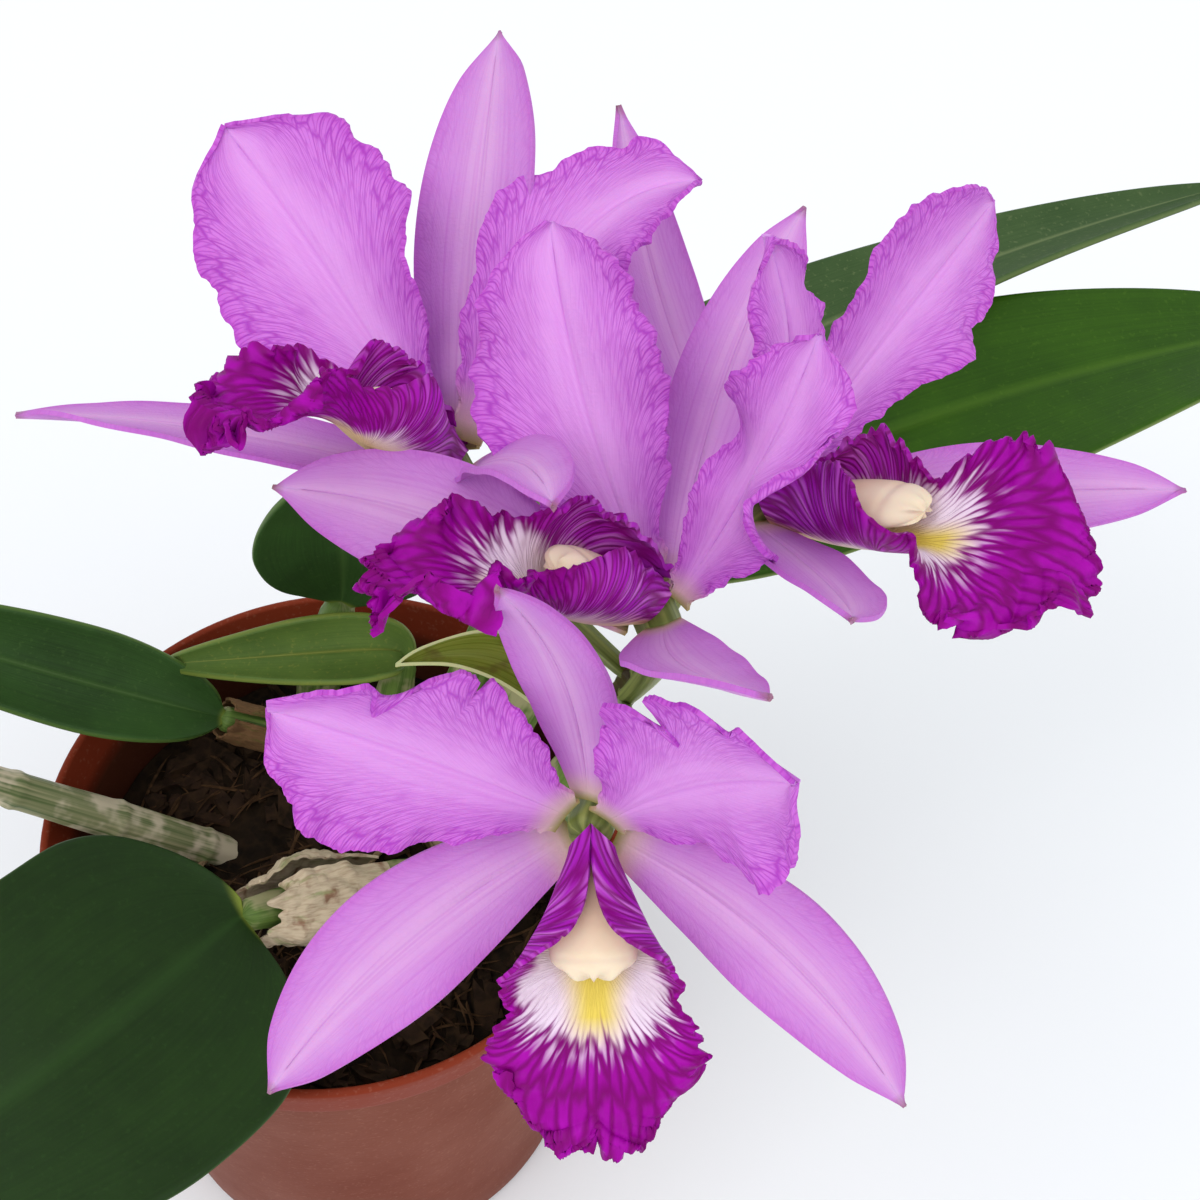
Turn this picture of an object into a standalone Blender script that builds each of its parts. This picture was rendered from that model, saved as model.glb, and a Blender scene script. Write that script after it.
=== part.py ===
"""Potted cattleya orchid: a plastic pot of bark mix, a creeping rhizome with seven
pseudobulbs, seven leaves, and a stem with four open flowers.

Metres, +Z up. The origin is the middle of the pot's underside, and the plant's
fullest flower faces -Y.
"""
import math

import bmesh
import bpy
from mathutils import Matrix, Vector

# ---- driving dimensions -------------------------------------------------------
GAP = 0.0003                 # air kept between pieces that touch

RIM_RADIUS = 0.065
POT_HEIGHT = 0.127
RIM_DEPTH = 0.0105           # height of the rolled rim
BODY_RADIUS = 0.0612         # outer radius just under the rim
BASE_RADIUS = 0.0545
POT_WALL = 0.0019
POT_FLOOR = 0.0025
POT_SIDES = 48
DRAIN_RING = 0.036
DRAIN_RADIUS = 0.0045
DRAIN_COUNT = 6

MIX_EDGE = 0.1025            # height of the mix where it meets the pot
MIX_CROWN = 0.1055           # height of the mix at its middle

RHIZOME_RADIUS = 0.0052
PETIOLE = 0.004              # how far a leaf starts beyond its pseudobulb

TEPAL_WALL = 0.0009
LEAF_WALL = 0.0018
SHEATH_WALL = 0.0007

RECEPTACLE_RADIUS = 0.0032   # the knob that carries a flower's parts
RECEPTACLE_FRONT = 0.0020
RECEPTACLE_BACK = 0.0042
TEPAL_START = RECEPTACLE_RADIUS + GAP + 0.0004
COLUMN_LENGTH = 0.0265
SEPAL_LAYER = -0.0016        # the sepals leave the knob behind the petals
PETAL_LAYER = 0.0006

STEM_FORK = (0.0650, -0.0360, 0.2420)
PEDUNCLE_RADIUS = 0.0026
PEDICEL_NODES = {"d": 0.74, "b": 0.85, "a": 0.95, "c": 1.0}    # where each leaves the stem
SPATHE_PATH = ((0.040, -0.0205, 0.2160), (0.022, -0.0190, 0.2150))
SPATHE_WIDTH = 0.015

# Rhizome, from the oldest growth at the back to the newest at the front: a pseudobulb
# stands on each of its knots.
RHIZOME_LEVEL = 0.1080
RHIZOME_PATH = ((-0.012, 0.042), (-0.001, 0.030), (0.009, 0.023), (0.015, 0.017), (0.023, 0.009),
                (0.030, 0.000), (0.036, -0.010))

# name: knot on the rhizome, shoulder, top, foot radius, greatest radius, top radius
PSEUDOBULBS = {
    "pseudobulb_rear": (0, (-0.008, 0.045, 0.128), (-0.002, 0.0470, 0.1480), 0.0036, 0.0056, 0.0032),
    "pseudobulb_left": (1, (-0.012, 0.028, 0.116), (-0.0295, 0.0245, 0.1300), 0.0032, 0.0044, 0.0028),
    "pseudobulb_mid": (2, (0.009, 0.031, 0.128), (0.0140, 0.0320, 0.1480), 0.0034, 0.0048, 0.0030),
    "pseudobulb_back": (3, (0.029, 0.031, 0.142), (0.0480, 0.0530, 0.1860), 0.0034, 0.0052, 0.0034),
    "pseudobulb_right": (4, (0.040, 0.022, 0.142), (0.0570, 0.0360, 0.1810), 0.0036, 0.0060, 0.0036),
    "pseudobulb_front": (5, (0.010, -0.012, 0.120), (-0.0145, -0.0315, 0.1395), 0.0034, 0.0050, 0.0034),
    "pseudobulb_flowering": (6, (0.046, -0.018, 0.152), (0.058, -0.024, 0.200), 0.0040, 0.0076, 0.0042),
}
CANE = ((-0.026, 0.0045, 0.1035), (-0.044, 0.000, 0.1190), (-0.067, -0.0055, 0.1440),
        (-0.092, -0.0120, 0.1690))
CANE_RADII = (0.0040, 0.0056, 0.0050, 0.0034)

# name: pseudobulb, middle control point, tip, width, way its upper side faces, fold (degrees)
LEAVES = {
    "leaf_front": ("pseudobulb_front", (-0.030, -0.075, 0.165), (-0.095, -0.115, 0.150),
                   0.070, (0.15, -0.25, 1.0), 15),
    "leaf_left": ("pseudobulb_left", (-0.070, 0.015, 0.160), (-0.125, 0.025, 0.175),
                  0.028, (0.2, -0.5, 1.0), 35),
    "leaf_cane": ("cane_left", (-0.120, -0.020, 0.205), (-0.150, -0.030, 0.255),
                  0.034, (0.8, -0.25, 0.7), 30),
    "leaf_mid": ("pseudobulb_mid", (0.000, 0.028, 0.160), (-0.045, 0.035, 0.145),
                 0.022, (-0.1, -0.6, 1.0), 40),
    "leaf_rear": ("pseudobulb_rear", (0.000, 0.050, 0.180), (0.005, 0.030, 0.215),
                  0.040, (0.0, -1.0, 0.15), 20),
    "leaf_right_upper": ("pseudobulb_back", (0.090, 0.070, 0.225), (0.205, 0.140, 0.205),
                         0.036, (-0.1, 0.15, 1.0), 20),
    "leaf_right_lower": ("pseudobulb_right", (0.135, 0.060, 0.215), (0.225, 0.105, 0.190),
                         0.046, (0.0, -0.10, 1.0), 20),
}

# The usual flower. Each row below takes its own share of these.
SEPAL_LENGTH = 0.060
SEPAL_WIDTH = 0.015
PETAL_LENGTH = 0.054
PETAL_WIDTH = 0.027
LIP_LENGTH = 0.047

# The flowers. A sepal's or petal's row: clock angle, lean forward, shares of the usual length and
# width, then how its middle bends forward and sweeps round the clock, and how far its tip twists.
# A lip's row: clock angle, lean, share of the usual length, droop. All angles are in degrees.
FLOWERS = {
    "a": dict(place=(0.035, -0.034, 0.289), azimuth=-110, elevation=65, roll=-85,
              sepal_dorsal=(-10, 25, 1.20, 1.05, 0, 0, 10),
              petal_left=(-55, 40, 1.15, 1.05, 8, 0, 0),
              petal_right=(30, 15, 1.05, 0.95, 12, -5, 25),
              sepal_left=(-120, 30, 1.00, 1.00, 2, 0, 0),
              sepal_right=(120, 20, 0.90, 0.95, 2, 0, 0),
              lip=(180, 50, 1.00, 0.04), column_lean=65),
    "b": dict(place=(0.065, -0.057, 0.287), azimuth=-130, elevation=60, roll=-90,
              sepal_dorsal=(-5, 30, 1.05, 1.05, 2, 0, 15),
              petal_left=(-40, 60, 1.00, 0.95, 0, 0, 0),
              petal_right=(60, 45, 0.90, 0.95, 8, 0, 45),
              sepal_left=(-125, 35, 0.90, 1.00, 2, 0, 0),
              sepal_right=(115, 15, 0.90, 0.85, 4, 0, 0),
              lip=(180, 45, 1.00, 0.10), column_lean=60),
    "c": dict(place=(0.081, -0.035, 0.284), azimuth=100, elevation=50, roll=55,
              sepal_dorsal=(10, 10, 1.10, 1.05, 4, 0, 0),
              petal_left=(-65, 55, 1.00, 0.90, 8, 0, 0),
              petal_right=(60, 45, 1.10, 1.00, 6, 0, 0),
              sepal_left=(-120, 25, 0.90, 0.85, 2, 0, 0),
              sepal_right=(125, 35, 1.10, 1.05, -2, 0, 0),
              lip=(180, 50, 1.05, 0.04), column_lean=65),
    "d": dict(place=(0.058, -0.080, 0.266), azimuth=-15, elevation=20, roll=-15,
              sepal_dorsal=(0, 20, 0.85, 1.00, 4, 0, 0),
              petal_left=(-45, 25, 0.95, 1.05, 8, 0, 0),
              petal_right=(55, 25, 0.85, 1.00, 10, 0, 0),
              sepal_left=(-125, 25, 1.00, 1.10, 2, 0, -15),
              sepal_right=(130, 10, 0.95, 1.05, 4, 0, 0),
              lip=(175, 30, 1.00, 0.04), column_lean=50),
}

# Half-width along a blade: share at the base, where it is fullest, and how the two ends round.
LEAF_FORM = (0.10, 0.50, 1.15, 0.75)
SEPAL_FORM = (0.36, 0.50, 1.0, 0.80)
PETAL_FORM = (0.18, 0.58, 1.5, 0.60)

COLORS = {                   # base colour, roughness
    "pot": ((0.29, 0.085, 0.045), 0.45),
    "mix": ((0.020, 0.012, 0.007), 0.95),
    "rhizome": ((0.12, 0.11, 0.05), 0.70),
    "bulb": ((0.11, 0.16, 0.05), 0.55),
    "leaf": ((0.030, 0.090, 0.020), 0.40),
    "sheath": ((0.52, 0.43, 0.30), 0.85),
    "spathe": ((0.24, 0.30, 0.05), 0.50),
    "stem": ((0.06, 0.07, 0.03), 0.50),
    "tepal": ((0.58, 0.22, 0.75), 0.55),
    "lip": ((0.35, 0.010, 0.36), 0.55),
    "column": ((0.72, 0.58, 0.50), 0.45),
}


# ---- helpers --------------------------------------------------------------------
def clear_scene():
    for item in list(bpy.data.objects):
        bpy.data.objects.remove(item, do_unlink=True)


def new_collection(name):
    collection = bpy.data.collections.new(name)
    bpy.context.scene.collection.children.link(collection)
    return collection


def material(finish):
    name = "orchid_" + finish
    if name in bpy.data.materials:
        return bpy.data.materials[name]
    color, roughness = COLORS[finish]
    made = bpy.data.materials.new(name)
    made.use_nodes = True
    shader = made.node_tree.nodes["Principled BSDF"]
    shader.inputs["Base Color"].default_value = (*color, 1.0)
    shader.inputs["Roughness"].default_value = roughness
    return made


def add_object(name, bm, finish, collection=None):
    mesh = bpy.data.meshes.new(name)
    bm.to_mesh(mesh)
    bm.free()
    mesh.shade_smooth()
    mesh.set_sharp_from_angle(angle=math.radians(40))
    piece = bpy.data.objects.new(name, mesh)
    (collection or PARTS).objects.link(piece)
    if finish:
        mesh.materials.append(material(finish))
    return piece


def add_cutter(name, bm):
    cutter = add_object(name, bm, None, CUTTERS)
    cutter.hide_render = True
    cutter.display_type = "WIRE"
    return cutter


def cut(piece, cutter):
    boolean = piece.modifiers.new("cut_" + cutter.name, "BOOLEAN")
    boolean.object = cutter
    boolean.operation = "DIFFERENCE"
    boolean.solver = "EXACT"


def solidify(piece, wall):
    shell = piece.modifiers.new("wall", "SOLIDIFY")
    shell.thickness = wall
    shell.offset = 0.0
    shell.use_even_offset = False


def bezier(points, t):
    """A point on the curve that a few control points steer."""
    points = [Vector(p) for p in points]
    while len(points) > 1:
        points = [a.lerp(b, t) for a, b in zip(points, points[1:])]
    return points[0]


def tube_mesh(points, radii, sides=10, swell=0.0):
    """A closed round tube through the points, each with its own radius plus the swell."""
    curve = bpy.data.curves.new("tube", "CURVE")
    curve.dimensions = "3D"
    curve.bevel_depth = 1.0
    curve.bevel_resolution = max(0, sides // 2 - 2)
    curve.use_fill_caps = True
    spline = curve.splines.new("POLY")
    spline.points.add(len(points) - 1)
    for knot, point, radius in zip(spline.points, points, radii):
        knot.co = (*point, 1.0)
        knot.radius = radius + swell
    holder = bpy.data.objects.new("tube", curve)
    bpy.context.scene.collection.objects.link(holder)
    evaluated = holder.evaluated_get(bpy.context.evaluated_depsgraph_get())
    mesh = bpy.data.meshes.new_from_object(evaluated)
    bm = bmesh.new()
    bm.from_mesh(mesh)
    bmesh.ops.remove_doubles(bm, verts=bm.verts, dist=0.00001)
    bpy.data.objects.remove(holder, do_unlink=True)
    bpy.data.curves.remove(curve)
    bpy.data.meshes.remove(mesh)
    return bm


def outline(form, t):
    """The share of the full half-width that a blade has at t, from its base to its tip."""
    base, fullest, rise, fall = form
    if t < fullest:
        return base + (1.0 - base) * math.sin(0.5 * math.pi * t / fullest) ** rise
    return max(0.05, math.cos(0.5 * math.pi * (t - fullest) / (1.0 - fullest)) ** fall)


def spine_frame(points, face, t, turn):
    """Place, side and face directions on the curve, turned about it by an angle."""
    step = 0.01
    here = bezier(points, t)
    along = (bezier(points, min(1.0, t + step)) - bezier(points, max(0.0, t - step))).normalized()
    normal = (face - along * face.dot(along)).normalized()
    normal = Matrix.Rotation(turn, 3, along) @ normal
    return here, along.cross(normal), normal


def blade_mesh(points, face, width, form, fold, twist, columns, rows):
    """An open leaf-like surface on a grid: across it s runs -1 to 1, along it t runs 0 to 1."""
    bm = bmesh.new()
    bmesh.ops.create_grid(bm, x_segments=columns, y_segments=rows, size=1.0)
    for vert in bm.verts:
        s, t = vert.co.x, 0.5 * (vert.co.y + 1.0)
        here, side, normal = spine_frame(points, face, t, math.radians(twist) * t)
        half = 0.5 * width * outline(form, t)
        angle = math.radians(fold) * abs(s) ** 0.6
        vert.co = here + half * s * math.cos(angle) * side + half * abs(s) * math.sin(angle) * normal
    return bm


# ---- pot and mix ------------------------------------------------------------------
def turned(name, profile, finish):
    """A solid of revolution whose profile starts and ends on the axis."""
    bm = bmesh.new()
    verts = [bm.verts.new((radius, 0.0, height)) for radius, height in profile]
    for first, second in zip(verts, verts[1:]):
        bm.edges.new((first, second))
    piece = add_object(name, bm, finish)
    spin = piece.modifiers.new("turn", "SCREW")
    spin.steps = POT_SIDES
    spin.render_steps = POT_SIDES
    spin.use_merge_vertices = True
    spin.merge_threshold = 0.00001
    return piece


def inner_radius(height):
    """The pot's inside radius, which widens steadily from the floor to the rim."""
    rise = height / (POT_HEIGHT - RIM_DEPTH)
    return BASE_RADIUS + (BODY_RADIUS - BASE_RADIUS) * rise - POT_WALL


def build_pot():
    lip = 0.0012
    profile = [(0.0, POT_FLOOR), (inner_radius(POT_FLOOR) - 0.002, POT_FLOOR),
               (inner_radius(POT_FLOOR + 0.002), POT_FLOOR + 0.002),
               (inner_radius(POT_HEIGHT - RIM_DEPTH), POT_HEIGHT - RIM_DEPTH),
               (RIM_RADIUS - POT_WALL - 0.0006, POT_HEIGHT - lip),
               (RIM_RADIUS - 0.5 * POT_WALL, POT_HEIGHT),
               (RIM_RADIUS, POT_HEIGHT - lip),
               (RIM_RADIUS - 0.0007, POT_HEIGHT - RIM_DEPTH),
               (BODY_RADIUS, POT_HEIGHT - RIM_DEPTH),
               (BASE_RADIUS + 0.0004, 0.003), (BASE_RADIUS - 0.0016, 0.0), (0.0, 0.0)]
    pot = turned("pot", profile, "pot")
    for index in range(DRAIN_COUNT):
        turn = 2.0 * math.pi * (index + 0.3) / DRAIN_COUNT
        place = Matrix.Translation((DRAIN_RING * math.cos(turn), DRAIN_RING * math.sin(turn), 0.0))
        bm = bmesh.new()
        bmesh.ops.create_cone(bm, cap_ends=True, segments=12, radius1=DRAIN_RADIUS,
                              radius2=DRAIN_RADIUS, depth=4.0 * POT_FLOOR, matrix=place)
        cut(pot, add_cutter("drain_%d" % index, bm))


def build_mix():
    floor = POT_FLOOR + GAP
    profile = [(0.0, MIX_CROWN), (0.020, MIX_CROWN - 0.0006), (0.042, MIX_EDGE + 0.0012),
               (inner_radius(MIX_EDGE) - GAP, MIX_EDGE),
               (inner_radius(floor + 0.0022) - GAP, floor + 0.0022),
               (inner_radius(floor) - 0.0026, floor), (0.0, floor)]
    return turned("potting_mix", profile, "mix")


# ---- rhizome, pseudobulbs and canes -------------------------------------------------
def rhizome_mesh(swell):
    points = [Vector((x, y, RHIZOME_LEVEL)) for x, y in RHIZOME_PATH]
    points[0] += (points[0] - points[1]).normalized() * (0.006 + swell)
    points[-1] += (points[-1] - points[-2]).normalized() * (0.006 + swell)
    return tube_mesh(points, [RHIZOME_RADIUS] * len(points), swell=swell)


def bulb_path(name):
    if name == "cane_left":
        return CANE
    knot, shoulder, top, *_ = PSEUDOBULBS[name]
    return ((*RHIZOME_PATH[knot], RHIZOME_LEVEL), shoulder, top)


def bulb_mesh(name, swell=0.0, count=8):
    """A spindle: slim at the foot, fullest at two fifths, slim again at the top."""
    low, full, high = PSEUDOBULBS[name][3:]
    points, widths = [], []
    for index in range(count):
        t = index / (count - 1)
        points.append(bezier(bulb_path(name), t))
        if t < 0.4:
            widths.append(low + (full - low) * math.sin(0.5 * math.pi * t / 0.4))
        else:
            widths.append(high + (full - high) * math.cos(0.5 * math.pi * (t - 0.4) / 0.6))
    if swell:
        points[0] += (points[0] - points[1]).normalized() * swell
    return tube_mesh(points, widths, swell=swell)


def cane_mesh(swell=0.0, count=9):
    points = [bezier(CANE, index / (count - 1)) for index in range(count)]
    widths = [bezier([(r, 0.0, 0.0) for r in CANE_RADII], index / (count - 1)).x
              for index in range(count)]
    if swell:
        points[0] += (points[0] - points[1]).normalized() * swell
    return tube_mesh(points, widths, swell=swell)


def build_growths(mix):
    add_object("rhizome", rhizome_mesh(0.0), "rhizome")
    rhizome_room = add_cutter("rhizome_room", rhizome_mesh(GAP))
    cut(mix, rhizome_room)
    for name in PSEUDOBULBS:
        cut(add_object(name, bulb_mesh(name), "bulb"), rhizome_room)
        cut(mix, add_cutter(name + "_room", bulb_mesh(name, GAP)))
    add_object("cane_left", cane_mesh(), "bulb")
    cut(mix, add_cutter("cane_room", cane_mesh(GAP)))


def sheath_mesh(points, radius_at, wrap, columns, rows, open_to):
    """A papery scale wrapped round a pseudobulb, with a slit along one side."""
    bm = bmesh.new()
    bmesh.ops.create_grid(bm, x_segments=columns, y_segments=rows, size=1.0)
    for vert in bm.verts:
        s, t = vert.co.x, 0.5 * (vert.co.y + 1.0)
        here, side, normal = spine_frame(points, Vector(open_to), t, 0.0)
        angle = math.radians(wrap) * s
        radius = radius_at(t)
        vert.co = here - radius * math.cos(angle) * normal + radius * math.sin(angle) * side
    return bm


def build_sheaths():
    """Dry scales on two pseudobulbs: a wide crumpled one in front, a brown one at the left."""
    for name, bulb, slim, belly, flare, open_to in (
            ("sheath_front", "pseudobulb_front", 0.0062, 0.0030, 0.0014, (-0.2, 0.3, 1.0)),
            ("sheath_left", "pseudobulb_left", 0.0052, 0.0, -0.0006, (0.2, -0.3, 1.0))):
        path = [bezier(bulb_path(bulb), t) for t in (0.45, 0.72, 0.985)]
        bm = sheath_mesh(path, lambda t: slim + belly * math.sin(math.pi * t) + flare * t,
                         150, 8, 5, open_to)
        solidify(add_object(name, bm, "sheath"), SHEATH_WALL)


# ---- leaves ---------------------------------------------------------------------
def build_leaves():
    for name, (bulb, middle, tip, width, face, fold) in LEAVES.items():
        path = bulb_path(bulb)
        top, along = Vector(path[-1]), (Vector(path[-1]) - Vector(path[-2])).normalized()
        lift = GAP + 0.5 * LEAF_WALL
        start = top + along * lift
        points = (start, start + along * PETIOLE, middle, tip)
        bm = blade_mesh(points, Vector(face), width, LEAF_FORM, fold, 0, 4, 11)
        solidify(add_object(name, bm, "leaf"), LEAF_WALL)


# ---- flower stem ------------------------------------------------------------------
def peduncle_path():
    top = Vector(PSEUDOBULBS["pseudobulb_flowering"][2])
    start = top + Vector((0.0010, -0.0002, 0.0009))
    return (start, start + Vector((0.003, -0.001, 0.018)), Vector(STEM_FORK))


def build_stem():
    points = [bezier(peduncle_path(), index / 6) for index in range(7)]
    add_object("peduncle", tube_mesh(points, [PEDUNCLE_RADIUS] * 7), "stem")


def build_spathe():
    top = Vector(PSEUDOBULBS["pseudobulb_flowering"][2])
    base = top + Vector((-0.0034, 0.0, 0.0012))
    bm = blade_mesh((base, *SPATHE_PATH), Vector((0.0, -0.3, 1.0)), SPATHE_WIDTH,
                    (0.42, 0.35, 1.0, 0.95), 48, 0, 4, 7)
    solidify(add_object("spathe", bm, "spathe"), SHEATH_WALL)


# ---- flowers --------------------------------------------------------------------
def flower_frame(azimuth, elevation, roll):
    """Columns: the flower's right, its up (toward the top sepal) and the way it faces."""
    a, e, r = (math.radians(x) for x in (azimuth, elevation, roll))
    face = Vector((math.sin(a) * math.cos(e), -math.cos(a) * math.cos(e), math.sin(e)))
    level_up = Vector((-math.sin(a) * math.sin(e), math.cos(a) * math.sin(e), math.cos(e)))
    level_right = level_up.cross(face)
    up = math.cos(r) * level_up + math.sin(r) * level_right
    return Matrix((up.cross(face), up, face)).transposed()


def direction(clock, lean):
    c, n = math.radians(clock), math.radians(lean)
    return Vector((math.sin(c) * math.cos(n), math.cos(c) * math.cos(n), math.sin(n)))


def tepal_points(clock, lean, length, bend, sweep, layer):
    """From the knob's edge, by way of a control point, to the tip."""
    start = direction(clock, 0.0) * TEPAL_START + Vector((0.0, 0.0, layer))
    middle = direction(clock + sweep, lean + bend) * length * 0.55
    return (start, middle, direction(clock, lean) * length)


def lip_surface(s, t, clock, lean, length, droop):
    """A funnel that is open above: side lobes round the column, then a spreading front lobe."""
    along = direction(clock, lean)
    above = direction(clock, lean + 90.0)
    side = along.cross(above)
    throat = 0.56
    dip = max(0.0, t - throat) / (1.0 - throat)
    bottom = Vector((0.0, 0.0, PETAL_LAYER)) + direction(clock, 0.0) * TEPAL_START
    spine = bottom + (along * length - bottom) * t
    spine -= above * length * (0.03 * math.sin(math.pi * t) + droop * t ** 3)
    swell = min(1.0, t / 0.30)
    tube = 0.0022 + 0.0052 * swell
    if t < throat:
        half = 0.0025 + 0.0125 * math.sin(0.5 * math.pi * min(1.0, t / 0.40)) ** 1.2
        curl = half / tube * min(1.0, t / 0.18)
    else:
        half = 0.0150 * max(0.12, math.cos(0.5 * math.pi * dip ** 2.2) ** 0.6)
        curl = (half / tube) * (1.0 - dip) ** 1.4 - 0.45 * dip
    curl = curl if abs(curl) > 0.02 else 0.02
    radius = half / curl
    return spine + side * radius * math.sin(curl * s) + above * radius * (1.0 - math.cos(curl * s))


def build_lip(name, to_world, lip):
    bm = bmesh.new()
    bmesh.ops.create_grid(bm, x_segments=8, y_segments=13, size=1.0)
    for vert in bm.verts:
        vert.co = to_world @ lip_surface(vert.co.x, 0.5 * (vert.co.y + 1.0), *lip)
    solidify(add_object(name, bm, "lip"), TEPAL_WALL)


def build_flower(tag, flower):
    place = Vector(flower["place"])
    to_world = Matrix.Translation(place) @ flower_frame(
        flower["azimuth"], flower["elevation"], flower["roll"]).to_4x4()
    turn = to_world.to_3x3()
    sepal = (SEPAL_LAYER, SEPAL_FORM, SEPAL_LENGTH, SEPAL_WIDTH)
    petal = (PETAL_LAYER, PETAL_FORM, PETAL_LENGTH, PETAL_WIDTH)
    for part in ("sepal_dorsal", "sepal_left", "sepal_right", "petal_left", "petal_right"):
        layer, form, usual_length, usual_width = sepal if part.startswith("sepal") else petal
        clock, lean, long, wide, bend, sweep, twist = flower[part]
        length = long * usual_length
        points = [to_world @ p for p in tepal_points(clock, lean, length, bend, sweep, layer)]
        bm = blade_mesh(points, turn @ Vector((0.0, 0.0, 1.0)), wide * usual_width, form, 14,
                        twist, 4, 8)
        solidify(add_object(part + "_" + tag, bm, "tepal"), TEPAL_WALL)
    clock, lean, share, droop = flower["lip"]
    build_lip("lip_" + tag, to_world, (clock, lean, share * LIP_LENGTH, droop))
    build_column("column_" + tag, to_world, flower["lip"][0], flower["column_lean"])
    build_pedicel("pedicel_" + tag, to_world, PEDICEL_NODES[tag])


def build_column(name, to_world, clock, lean):
    start = Vector((0.0, 0.0, RECEPTACLE_FRONT + 2.0 * GAP))
    rise = start + Vector((0.0, 0.0, 0.0015))
    tip = direction(clock, lean) * COLUMN_LENGTH
    points = [start] + [bezier((rise, Vector((0.0, 0.0, 0.010)), tip), i / 4) for i in range(5)]
    add_object(name, tube_mesh([to_world @ p for p in points],
                               (0.0021, 0.0024, 0.0030, 0.0035, 0.0036, 0.0024)), "column")


def build_pedicel(name, to_world, node):
    """From its node on the stem to the knob behind the flower."""
    back = to_world @ Vector((0.0, 0.0, -RECEPTACLE_BACK))
    control = to_world @ Vector((0.0, 0.0, -0.022))
    stem = peduncle_path()
    here = bezier(stem, node)
    along = (here - bezier(stem, node - 0.02)).normalized()
    if node < 1.0:
        out = (control - here) - along * (control - here).dot(along)
        out.normalize()
        start = here + out * (PEDUNCLE_RADIUS + GAP)
    else:
        out = along
        start = here + out * GAP
    points = [start] + [bezier((start + out * 0.002, control, back), i / 5) for i in range(6)]
    radii = [0.0016, 0.0016, 0.0018, 0.0020, 0.0022, 0.0025, 0.0028]
    for height in (-0.5 * RECEPTACLE_BACK, RECEPTACLE_FRONT):
        points.append(to_world @ Vector((0.0, 0.0, height)))
        radii.append(RECEPTACLE_RADIUS)
    add_object(name, tube_mesh(points, radii), "stem")


clear_scene()
PARTS = new_collection("potted_cattleya_orchid")
CUTTERS = new_collection("cutters")
build_pot()
build_growths(build_mix())
build_sheaths()
build_leaves()
build_stem()
build_spathe()
for flower_tag, flower_form in FLOWERS.items():
    build_flower(flower_tag, flower_form)
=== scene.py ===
"""Potted cattleya orchid: the finished plant and pot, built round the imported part.

Every piece stands for the part's node that it names and repeats its main sizes and place. Leaves,
sheaths and flower parts have thinner walls here, and the cane's foot, the spathe, some leaves and
the flowers' rows are set a little apart from the part's.
Lengths are metres, or millimetres where a name or a comment says so.
"""

import random
from functools import partial
from math import acos, atan2, cos, exp, hypot, pi, radians, sin, sqrt

import bpy
from mathutils import Matrix, Vector, noise


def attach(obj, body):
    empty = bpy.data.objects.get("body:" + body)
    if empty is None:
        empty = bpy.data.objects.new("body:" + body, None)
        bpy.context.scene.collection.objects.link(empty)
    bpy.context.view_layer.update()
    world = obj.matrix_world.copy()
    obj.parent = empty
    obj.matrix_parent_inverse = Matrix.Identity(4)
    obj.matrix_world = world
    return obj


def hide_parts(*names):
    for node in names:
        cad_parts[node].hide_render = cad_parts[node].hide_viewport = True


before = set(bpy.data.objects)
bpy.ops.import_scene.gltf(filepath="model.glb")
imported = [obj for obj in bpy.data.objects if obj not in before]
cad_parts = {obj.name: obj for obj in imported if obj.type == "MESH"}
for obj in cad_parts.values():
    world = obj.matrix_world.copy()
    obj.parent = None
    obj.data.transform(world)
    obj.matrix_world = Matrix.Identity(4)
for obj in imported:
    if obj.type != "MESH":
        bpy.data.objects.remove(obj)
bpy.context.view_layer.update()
MM = 0.001

# ---- named sizes ----
GAP = 0.0003
RIM_RADIUS = 0.065
POT_HEIGHT = 0.127
RIM_DEPTH = 0.0105
BODY_RADIUS = 0.0612
BASE_RADIUS = 0.0545
POT_WALL = 0.0019
POT_FLOOR = 0.0025
DRAIN_RING = 0.036
DRAIN_RADIUS = 0.0045
DRAIN_COUNT = 6
MIX_EDGE = 0.1025
MIX_CROWN = 0.1055

# Loose bark and coir on the mix: how many, their seeds, and the least and greatest of each size.
BARK_COUNT = 420
BARK_SEED = 11
BARK_SIZES = (0.0022, 0.0062)
FIBRE_COUNT = 260
FIBRE_SEED = 23
FIBRE_LENGTHS = (0.008, 0.026)
FIBRE_RADII = (0.00016, 0.00042)
FIBRE_LIFTS = (0.0006, 0.003)

RHIZOME_RADIUS = 0.0052
RHIZOME_LEVEL = 0.108
PETIOLE = 0.004
LEAF_WALL = 0.0016
LEAF_SEAT = 0.0012  # how deep a leaf's base sits in its growth
TEPAL_WALL = 0.0007
SHEATH_WALL = 0.0006
RECEPTACLE_RADIUS = 0.0032
RECEPTACLE_FRONT = 0.002
RECEPTACLE_BACK = 0.0042
TEPAL_START = RECEPTACLE_RADIUS + GAP + 0.0004
SEPAL_LAYER = -0.0016
PETAL_LAYER = 0.0006

STEM_FORK = (0.065, -0.036, 0.242)
PEDUNCLE_RADIUS = 0.0026
PEDICEL_NODES = {"d": 0.74, "b": 0.85, "a": 0.95, "c": 1.0}
PEDICEL_BOWS = {"d": 0.022, "b": 0.009, "a": 0.022, "c": 0.022}
SPATHE_PATH = ((0.046, -0.019, 0.23), (0.022, -0.019, 0.216))
SPATHE_WIDTH = 0.015
SPATHE_FACE = (0.0, -0.3, 1.0)
SPATHE_FOLD = 48

RHIZOME_PATH = ((-0.012, 0.042), (-0.001, 0.03), (0.009, 0.023), (0.015, 0.017), (0.023, 0.009),
                (0.03, 0.0), (0.036, -0.01))

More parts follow.
